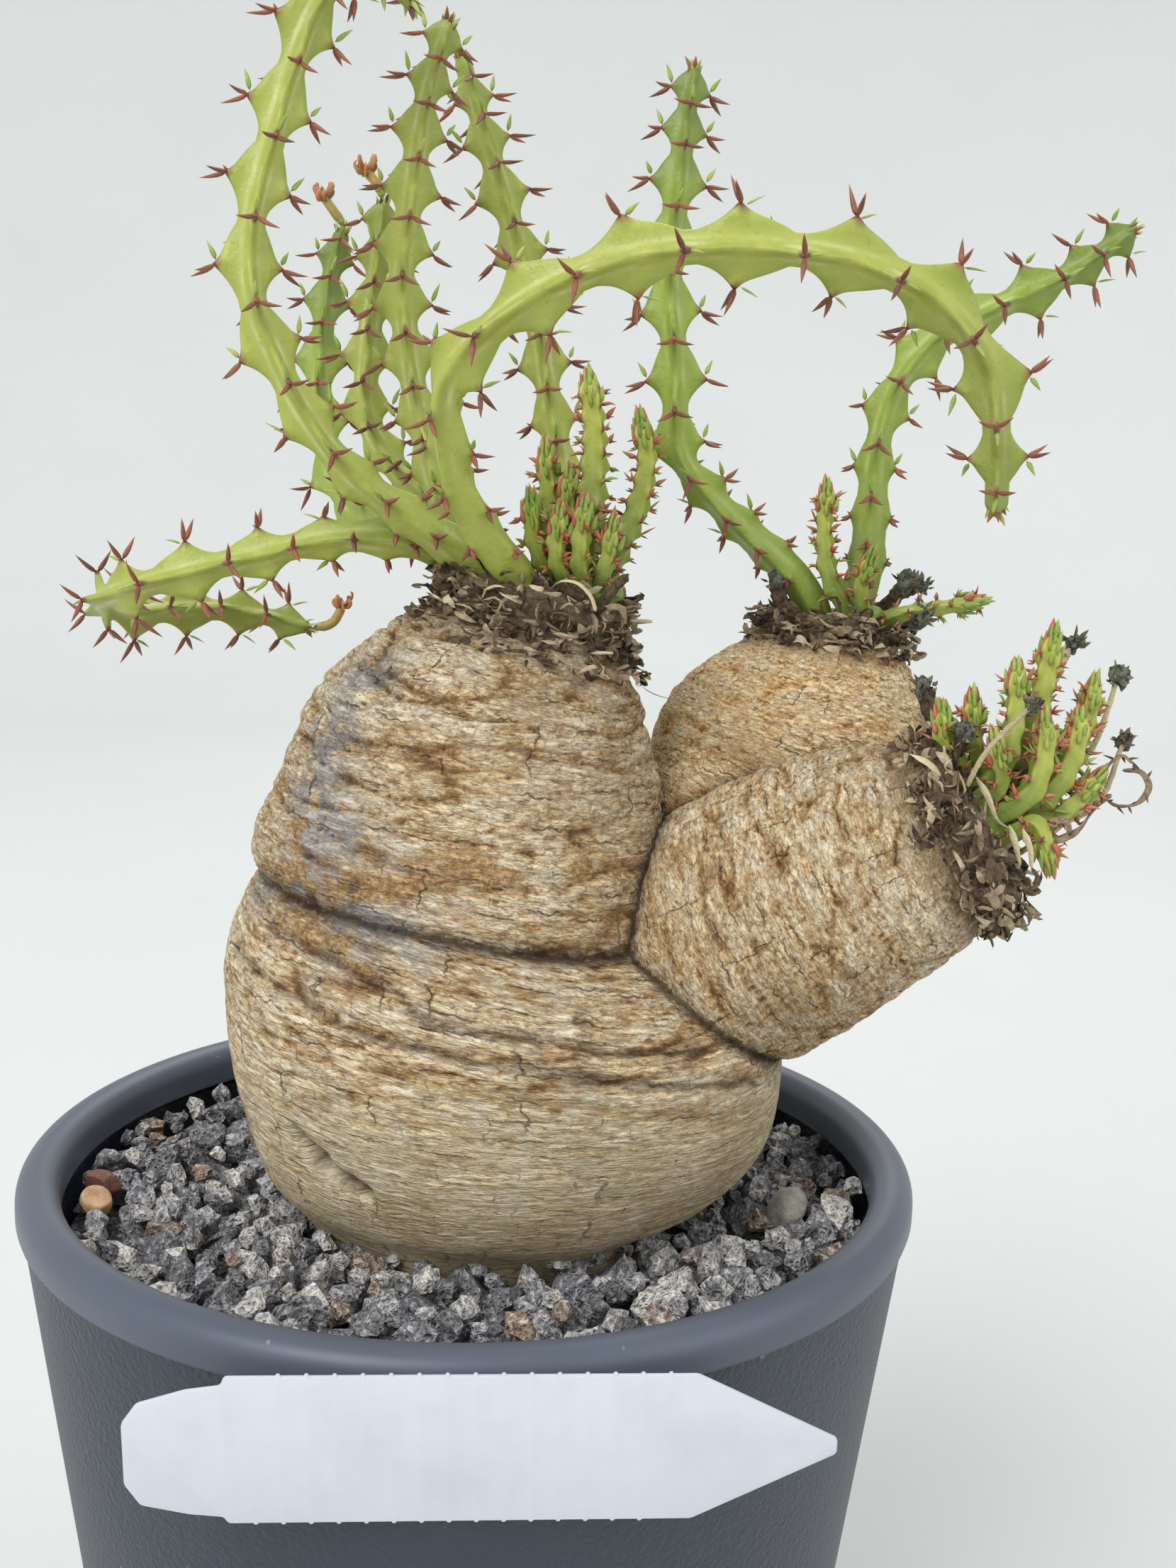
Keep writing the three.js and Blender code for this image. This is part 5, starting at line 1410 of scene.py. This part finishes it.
# %% [markdown]
# Each crown wears a collar of dead bark that crumbles into shreds. A rough barrel sits on the
# lobe; many hundreds of bent shreds lie over it, stick out and hang down over the shoulder.
# Dead stubs and dried flower stalks with crumpled heads are part of the same dead tissue, and
# so are pale peeling curls and, beside the side crown, brown dried straps.

# %% Collars
SHREDS = {"main": 1000, "back": 480, "side": 760}
# How fast the lobe widens below its crown, and how far the shreds hang down over it
SHOULDERS = {"main": (1.0, 3.4), "back": (1.1, 1.4), "side": (0.35, 2.0)}
TWIGS = {
    "main": [
        {"foot": (7.5, -8.4), "path": [(16, -9.5, 188), (18.4, -9.6, 190.6)], "thick": 0.7},
        {"foot": (9, 4), "path": [(22, 6, 187)], "thick": 0.5},
        {"foot": (-9, -4), "path": [(-6, -7, 189)], "thick": 0.6}],
    "back": [
        {"foot": (-7, -3), "path": [(41.5, 11, 186), (40.6, 10.6, 189)], "thick": 1.3, "head": 1.5},
        {"foot": (7.6, 1.5), "path": [(60, 16, 189)], "thick": 1.2, "head": 1.6},
        {"foot": (5, 6), "path": [(64, 23, 188)], "thick": 0.7, "head": 1.4},
        {"foot": (7, -4), "path": [(60.5, 9, 184.5)], "thick": 0.8, "head": 1.8}],
    "side": [
        {"foot": (-3, 8.5), "path": [(71, -9, 172), (76, -9, 183)], "thick": 0.4, "tone": 0.8, "head": 1.5},
        {"foot": (0, 9), "path": [(78, -10, 168), (82, -10, 179)], "thick": 0.4, "tone": 0.8, "head": 1.4},
        {"foot": (3, 8.5), "path": [(79, -12, 162), (83, -11, 171)], "thick": 0.4, "tone": 0.7, "head": 1.3},
        {"foot": (-4, -8.5), "path": [(61, -24, 171), (66, -25, 177)], "thick": 0.35, "tone": 0.6,
         "head": 1.2},
        {"foot": (7, 5), "path": [(73, -16, 160), (79, -15, 164.5)], "thick": 0.4, "tone": 0.7},
        {"foot": (-8.6, 3), "path": [(57, -9, 177)], "thick": 1.3, "head": 1.5},
        {"foot": (-7, -3), "path": [(59.5, -20, 173)], "thick": 0.8, "head": 1.5}],
}
STRAY_FIBRE = [(20.9, -2, 175.9), (22.4, -2, 174.9), (24.1, -2, 174.3), (27.2, -1, 173.6)]
# Pale curled strips of peeled bark that stand out from the collars, as lines in space
CURLS = {
    "main": [[(8.5, -10.5, 188.6), (10.1, -11.5, 189.7), (12, -12, 189.5), (13.6, -11.8, 188),
              (14.4, -11.4, 186)]],
    "back": [],
    "side": [[(60.5, -22, 168), (62, -23, 165.5), (63.3, -23.5, 162.6), (65, -23.6, 161.6)],
             [(64.9, -23, 162.1), (65.8, -23.5, 159.4), (66.5, -23.4, 156.9)],
             [(52.7, -20, 170.2), (55.3, -21, 168.9), (56.9, -21.6, 166.4)],
             [(66.4, -23.6, 161.8), (67.4, -24.2, 159), (67.6, -24.3, 156.8)]],
}
# Brown dried straps that curl up beside the side crown
STRAPS = [
    [(68, -21, 159), (69.6, -22.6, 162), (72, -22.6, 162.6), (72.6, -22.4, 160.6), (70.4, -22.6, 159.8)],
    [(70, -21, 159.6), (74, -20.5, 160.6), (77, -18.6, 163.4), (79.6, -17, 165)],
    [(79, -15, 164.5), (81, -15.4, 163.2), (84, -15, 163.6), (85.4, -14.4, 165.6), (84.2, -14.2, 167.4),
     (81.6, -14.6, 167.6)],
    [(79.4, -15, 165), (80, -14, 168), (81.8, -13.8, 169.4), (83.2, -14.2, 168.4)],
]


DEAD_LAYERS = ("tone", "pale", "ashen")


def tint_verts(bm, verts, tone, pale=0.0, ashen=0.0):
    for mask, value in zip(DEAD_LAYERS, (tone, pale, ashen)):
        mark(bm, verts, mask, value)


def collar_barrel(bm, crown, seed):
    """The rough barrel below the shreds, as shares of the crown's radius at rising levels."""
    sides, rows = 72, 22
    angles = once_round(sides)
    profile = np.array([(0.6, -0.4), (1.04, -0.9), (1.06, 0.2), (0.98, 1.2), (1.0, 0.5 * crown["height"]),
                        (0.93, 0.85 * crown["height"]), (0.84, crown["height"] + GAP),
                        (0.5, crown["height"] + 0.5), (0.05, crown["height"] + 0.5)])
    steps = np.linspace(0, len(profile) - 1, rows)
    share, above = (np.interp(steps, range(len(profile)), column) for column in profile.T)
    axes = leaning_frame(crown["lean"], crown["towards"])
    around = np.cos(angles)[:, None] * axes[0] + np.sin(angles)[:, None] * axes[1]
    base = np.array(crown["at"]) + above[:, None, None] * axes[2]
    rings = base + around[None] * (share * crown["radius"])[:, None, None]
    flat = rings.reshape(-1, 3)
    crumble = 1.1 * cloud(flat, (1.9, 1.9, 1.4), seed) + 0.6 * cloud(flat, (0.8, 0.8, 0.8), seed + 1)
    fade = np.clip(share, 0, 1)[:, None]
    rings = rings + around[None] * (crumble.reshape(rows, sides) * fade)[..., None]
    first, last = (np.repeat(row, sides, axis=1) for row in (base[:1], base[-1:]))
    verts = rolled_tube(bm, np.concatenate([first, rings, last]))
    mark(bm, verts, "tone", 0.25)
    weld(bm, verts)


def add_shreds(bm, crown, count, shoulder, rng):
    """Bent shreds of bark, most of them lying round the collar, some hanging or standing out."""
    for _ in range(count):
        angle = rng.uniform(0, 2 * math.pi)
        out = np.array([math.cos(angle), math.sin(angle), 0])
        along = np.array([-math.sin(angle), math.cos(angle), 0])
        up = np.array([0, 0, 1.0])
        level = rng.uniform(-shoulder[1], crown["height"] + 0.6)
        spread = rng.uniform(0.2, 1.3) + shoulder[0] * max(-level, 0)
        start = out * (crown["radius"] * rng.uniform(0.94, 1.03) + spread) + up * level
        kind = rng.random()
        length = rng.uniform(1.3, 4.2)
        if kind < 0.52:
            aim = rng.choice((-1, 1)) * along + rng.uniform(-0.1, 0.35) * out + rng.uniform(-0.5, 0.3) * up
        elif kind < 0.8:
            aim = -up + rng.uniform(0.25, 0.6) * out + rng.uniform(-0.5, 0.5) * along
            length *= 0.8 if level > 1.5 else 0.55
        else:
            aim = out + rng.uniform(-0.2, 0.6) * up + rng.uniform(-0.6, 0.6) * along
            length *= 0.7
        if rng.random() < 0.2:
            start = (out * crown["radius"] * rng.uniform(0.5, 0.97)
                     + up * (crown["height"] + rng.uniform(0, 0.5)))
            aim = rng.uniform(-0.3, 0.9) * out + rng.uniform(-1, 1) * along + rng.uniform(0, 0.5) * up
        aim = unit(aim) * length
        bend = 0.3 * length * (0.7 * out + rng.normal(0, 0.6, 3))
        line = [crown_point(crown, *p) for p in (start, start + 0.5 * aim + bend, start + aim)]
        verts = strip(bm, line, rng.uniform(0.18, 0.7), rng.uniform(0.1, 0.2), 4, length / 4,
                      rng.uniform(0, math.pi), 0.5, rng.uniform(-0.5, 0.5))
        tint_verts(bm, verts, rng.random() ** 1.5)


def dried_head(bm, at, size, rng):
    """A crumpled cup of dead bracts."""
    ball, faces = unit_ball(2)
    shape = cut_stone(ball, rng, 4, 0.12) * (0.85, 0.85, 1.1)
    made = add_ball(bm, np.array(at) + size * shape, faces)
    tint_verts(bm, made, rng.uniform(0, 0.3), 0, 0.85)
    for _ in range(16):
        way = unit(rng.normal(size=3))
        start = np.array(at) + 0.7 * size * way
        aim = size * rng.uniform(0.5, 0.9) * (way + (0, 0, 0.5))
        verts = strip(bm, [start, start + 0.5 * aim + rng.normal(0, 0.15, 3), start + aim], 0.4, 0.22, 4, 0.4,
                      rng.uniform(0, 3))
        tint_verts(bm, verts, rng.uniform(0.1, 0.7), 0, 0.6)


def build_collar(name, crown, material):
    rng = np.random.default_rng(40 + len(name) + int(crown["radius"] * 10))
    bm = bmesh.new()
    new_layers(bm, DEAD_LAYERS)
    collar_barrel(bm, crown, int(crown["radius"]))
    add_shreds(bm, crown, SHREDS[name], SHOULDERS[name], rng)
    for twig in TWIGS[name]:
        start = crown_point(crown, *twig["foot"], GAP + 0.5 * crown["height"])
        verts = strip(bm, [start, *twig["path"]], twig["thick"], twig["thick"], 7, 0.5, 0, 0.15)
        for vert in verts:
            vert.co += Vector(rng.normal(0, 0.1 * twig["thick"], 3))
        tint_verts(bm, verts, twig.get("tone", 0.1), twig.get("tone", 0) * 0.6)
        if "head" in twig:
            dried_head(bm, twig["path"][-1], twig["head"], rng)
    if name == "back":
        tint_verts(bm, strip(bm, STRAY_FIBRE, 0.07, 0.07, 4, 0.8), 0.5)
    if name == "side":
        for strap in STRAPS:
            tint_verts(bm, strip(bm, strap, 0.5, 0.2, 6, 0.4, 0.4, 0.3, 0.3), 0.42)
            for spot in spline(strap, 2)[1:]:
                thorn = spot + rng.uniform(-1.5, 1.5, 3)
                tint_verts(bm, strip(bm, [spot, (spot + thorn) / 2, thorn], 0.22, 0.18, 4, 0.4), 0.2)
    for curl in CURLS[name]:
        tint_verts(bm, strip(bm, curl, 0.5, 0.16, 6, 0.4, 0.6, 0.4, 0.12), 0.9, 1.0)
    weld(bm, bm.verts)
    finish_piece(bm, f"crumbling_collar_{name}", material, "dead_bark", [f"collar_{name}"], flat_angle=55)


def dead_bark():
    material, tree, shader = new_material("crumbling_dead_bark", 0.9, 0.15)
    tone, pale, ashen = (attribute(tree, name) for name in DEAD_LAYERS)
    grit = noise_map(tree, object_mm(tree), 1.4, 5, 0.7)
    both = plus(tree, times(tree, tone, 0.6), times(tree, grit, 0.6))
    colour = ramp(tree, both, (0.26, 54, 44, 36), (0.45, 112, 95, 76), (0.64, 166, 147, 119),
                  (0.9, 212, 195, 164))
    colour = mix(tree, pale, colour, mix(tree, grit, (206, 190, 140), (226, 216, 182)))
    colour = mix(tree, ashen, colour, ramp(tree, grit, (0.4, 48, 52, 46), (0.6, 124, 128, 114)))
    dress(tree, shader, colour, grit, 0.45)
    return material


DEAD_BARK = dead_bark()
for name, crown in CROWNS.items():
    build_collar(name, crown, DEAD_BARK)

# %% [markdown]
# Three bunches of young shoots push up through the collars. They are short, glossy and much
# greener than the old stems, with rows of tubercles that carry crumpled red leaves, and end in
# a bud of small leaves. Each bunch is one growth on a low mound.

# %% Shoots
SHOOT_BARE, SHOOT_GROWTH, SHOOT_PITCHES, SHOOT_TURN, SHOOT_SWELL = 1.2, 4, (3.9, 3.6, 2.9), 0.4, 0.05
BUNCHES = {
    "shoots_main_crown": {"crown": "main", "base": (6, -2.5, 5, 2.6), "shoots": [
        ((6, -4), [(13, -5, 195), (14, -5, 202), (14, -5, 208), (13, -5, 215)], 1.9, 1.1),
        ((8, -2), [(17, -2, 192), (20, -2, 199), (21, -2, 205), (20, -2, 210)], 1.7, 0.9),
        ((3.5, -2), [(9, -2, 197), (8, -2, 206)], 1.7, 0.9),
        ((3.5, -5), [(7, -7, 194), (6, -8, 200)], 1.6, 0.9),
        ((7, 0), [(14, 2, 194), (15, 3, 200)], 1.5, 0.8),
        ((4.5, -6), [(9.5, -8.5, 193), (9.8, -9.5, 198.5)], 1.5, 1),
        ((6, -6), [(12.4, -8.5, 193), (12.8, -9, 199.5)], 1.5, 1),
        ((4, -3.5), [(10.8, -5, 195), (11, -5.5, 203)], 1.5, 1),
        ((7.5, -5), [(15.8, -7.5, 192), (16.6, -8, 197)], 1.4, 0.9)]},
    "shoots_back_crown": {"crown": "back", "base": (1.5, -5, 2.8, 2), "shoots": [
        ((1, -4.5), [(48, 11, 190), (47, 11, 196), (47, 11, 202)], 1.5, 0.8),
        ((1.5, -6), [(52, 9, 189), (53, 8, 193)], 1.4, 0.7),
        ((2.5, -5), [(58, 9, 185), (64, 10, 186), (70, 11, 187)], 1.2, 0.5)]},
    "shoots_side_crown": {"crown": "side", "base": (-1, 0, 5, 2.2), "shoots": [
        ((-1, 0), [(68, -16, 169), (70, -16, 177), (71, -16, 185)], 1.9, 1.1),
        ((-3, -3), [(65, -19, 169), (66, -19, 175), (66, -18, 181)], 1.7, 1),
        ((0, 2), [(72, -15, 167), (76, -15, 173), (77, -15, 179)], 1.7, 0.9),
        ((-4, 1), [(63, -16, 168), (61.5, -17, 172), (61, -17, 177)], 1.5, 0.8),
        ((-5, -1), [(60, -18, 168), (57.5, -18.5, 171.5), (56.8, -18.5, 176)], 1.5, 0.8),
        ((-2, -3.5), [(64.5, -20.5, 167), (63.4, -21.4, 170), (62.8, -21.4, 172.6)], 1.4, 0.8),
        ((3, -3), [(68.6, -22, 162), (69.6, -23, 159.4), (70.4, -23, 156.6)], 1.5, 0.3),
        ((1, -2.5), [(73, -19, 163), (77, -20, 168)], 1.6, 0.9),
        ((-0.5, -3), [(68, -21, 166), (69, -21.6, 171), (69, -21, 175)], 1.9, 0.8),
        ((1, -1), [(71.5, -19, 166), (73.5, -19.6, 171), (74, -19, 175.5)], 1.9, 0.9)]},
}


def dress_shoot(bm, teeth, places, tangents, rng):
    """Red crumpled leaves on the tubercles and a bud of leaves at the tip."""
    total = teeth[0]["along"] + teeth[0]["left"]
    for tooth in teeth:
        upper = tooth["along"] / total
        for _ in range(rng.integers(1, 3) + (upper > 0.45)):
            aim = (0.7 * tooth["out"] + rng.uniform(-0.3, 0.9) * tooth["onward"]
                   + rng.uniform(-0.7, 0.7) * tooth["aside"])
            kind = "blush" if rng.random() < 0.75 else "leaf"
            blade(bm, tooth["at"] - 0.35 * tooth["out"], aim * rng.uniform(1.2, 2.2), 0.36, 0.2, kind,
                  rng.uniform(0.5, 1), rng.uniform(-0.2, 0.3), rng.uniform(0, 3), 4)
        for hand in (1, -1):
            aim = 0.8 * tooth["out"] + hand * 0.6 * tooth["aside"]
            blade(bm, tooth["at"] - 0.3 * tooth["out"], aim * 1.1, 0.16, 0.14, "horn", 0.8, sides=4)
    tip, onward = places[-1], tangents[-1]
    for i in range(20):
        spread = round_tip(onward, (0.2, 1, 0.1), i)
        low = i / 20
        start = tip - onward * (0.6 + 3.6 * low) + spread * (0.2 + 1.1 * low)
        aim = onward * rng.uniform(1.8, 2.8) + spread * (0.1 + 0.6 * low)
        kind = "leaf" if i % 4 else "blush"
        blade(bm, start, aim, 0.62, 0.34, kind, rng.uniform(0.6, 1), 0.1, GOLDEN_TURN * i)


def build_bunch(name, bunch, material, rng):
    crown = CROWNS[bunch["crown"]]
    above = 2 * GAP + crown["height"]
    across, along, radius, height = bunch["base"]
    bm = bmesh.new()
    new_layers(bm, PLANT_LAYERS)
    ball, faces = unit_ball(4)
    lump = ball * (radius, radius, height) * (1 + 0.12 * cloud(ball, (0.4, 0.4, 0.4), 3)[:, None])
    add_ball(bm, [crown_point(crown, across + x, along + y, above + 0.2 + z) for x, y, z in lump], faces)
    for number, (foot, path, neck, tooth) in enumerate(bunch["shoots"]):
        start = crown_point(crown, *foot, above - 1)
        shape = {"neck": 0.88 * neck, "tooth": 1.35 * tooth, "bare": SHOOT_BARE, "growth": SHOOT_GROWTH,
                 "turn": SHOOT_TURN, "pitches": SHOOT_PITCHES, "seed": number + 1, "swell": SHOOT_SWELL}
        dress_shoot(bm, *toothed_stem(bm, spline([start, *path]), shape), rng)
    weld(bm, bm.verts)
    finish_piece(bm, f"{name}_leafy", material, "shoot_green", [name])


SHOOT_SKIN = stem_skin("glossy_young_skin", (116, 136, 58), (160, 172, 98), (128, 148, 60),
                       (190, 190, 84), late_from=0.25)
rng = np.random.default_rng(9)
for name, bunch in BUNCHES.items():
    build_bunch(name, bunch, SHOOT_SKIN, rng)

# %% [markdown]
# The plant label is thin white plastic, hung on the pot below the rim and leaning with its
# wall. Its outline is drawn flat, its corners are rounded, and it is thickened and eased. The
# long edges carry tiny grip nubs. Its face is bare.

# %% Label
LABEL_THICK, LABEL_OFF_WALL, LABEL_HEIGHT = 0.5, 1.3, 102
LABEL_OUTLINE = [(-35.6, -4), (-34, -6.6), (-29, -7.8), (-25.4, -8.2), (-25, -9), (24, -9), (39.2, -0.9),
                 (39.2, 0.9), (24, 9), (-25, 9), (-25.4, 7.9), (-29, 7.4), (-34, 5.8), (-35.6, 3.4)]
CORNER_ROUND, EDGE_EASE = 0.35, 0.08
NUB_PITCH, NUB_HEIGHT, NUB_FOOT, NUB_TOP = 2.9, 0.22, 0.3, 0.14
SHORTEST_GRIP = 40


def label_edge():
    """The outline with grip nubs along both long edges, and which of its points are corners."""
    points, corners = [], []
    for (x, y), (next_x, next_y) in zip(LABEL_OUTLINE, LABEL_OUTLINE[1:] + LABEL_OUTLINE[:1]):
        points.append((x, y))
        corners.append(True)
        if y == next_y and abs(next_x - x) > SHORTEST_GRIP:
            way = math.copysign(1, next_x - x)
            for step in range(1, int(abs(next_x - x) / NUB_PITCH)):
                middle = x + way * step * NUB_PITCH
                top = y + math.copysign(NUB_HEIGHT, y)
                points += [(middle - way * NUB_FOOT, y), (middle - way * NUB_TOP, top),
                           (middle + way * NUB_TOP, top), (middle + way * NUB_FOOT, y)]
                corners += [False] * 4
    return points, corners


def build_label(material):
    bm = bmesh.new()
    points, corners = label_edge()
    made = [bm.verts.new((x, y, 0)) for x, y in points]
    bm.faces.new(made)
    sharp = [vert for vert, corner in zip(made, corners) if corner]
    bmesh.ops.bevel(bm, geom=sharp, affect="VERTICES", offset=CORNER_ROUND, segments=4, profile=0.5,
                    material=-1)
    thick = bmesh.ops.extrude_face_region(bm, geom=bm.faces[:])["geom"]
    raised = [part for part in thick if isinstance(part, bmesh.types.BMVert)]
    bmesh.ops.translate(bm, vec=(0, 0, LABEL_THICK), verts=raised)
    rims = [edge for edge in bm.edges if edge.calc_face_angle(0) > math.radians(60)]
    bmesh.ops.bevel(bm, geom=rims, affect="EDGES", offset=EDGE_EASE, segments=2, profile=0.5, material=-1)
    lean = Matrix.Rotation(math.pi / 2 + math.atan(WALL_SLOPE), 4, "X")
    stand = -(wall_radius(LABEL_HEIGHT) + LABEL_OFF_WALL)
    place_now = Matrix.Translation((0, stand, LABEL_HEIGHT)) @ lean
    bmesh.ops.transform(bm, matrix=place_now, verts=bm.verts)
    finish_piece(bm, "bare_plant_label", material, "label_plastic", ["plant_label"], flat_angle=40)


def label_plastic():
    material, tree, shader = new_material("white_label_plastic", 0.38, 0.45)
    mm = object_mm(tree)
    dress(tree, shader, mix(tree, blotches(tree, mm, 9, 0.42, 0.7), (200, 204, 212), (193, 197, 206)))
    scuffs = noise_map(tree, stretch(tree, mm, 0.15, 1, 1.5), 1, 3)
    tree.links.new(map_range(tree, scuffs, to_low=0.3, to_high=0.48), shader.inputs["Roughness"])
    return material


build_label(label_plastic())
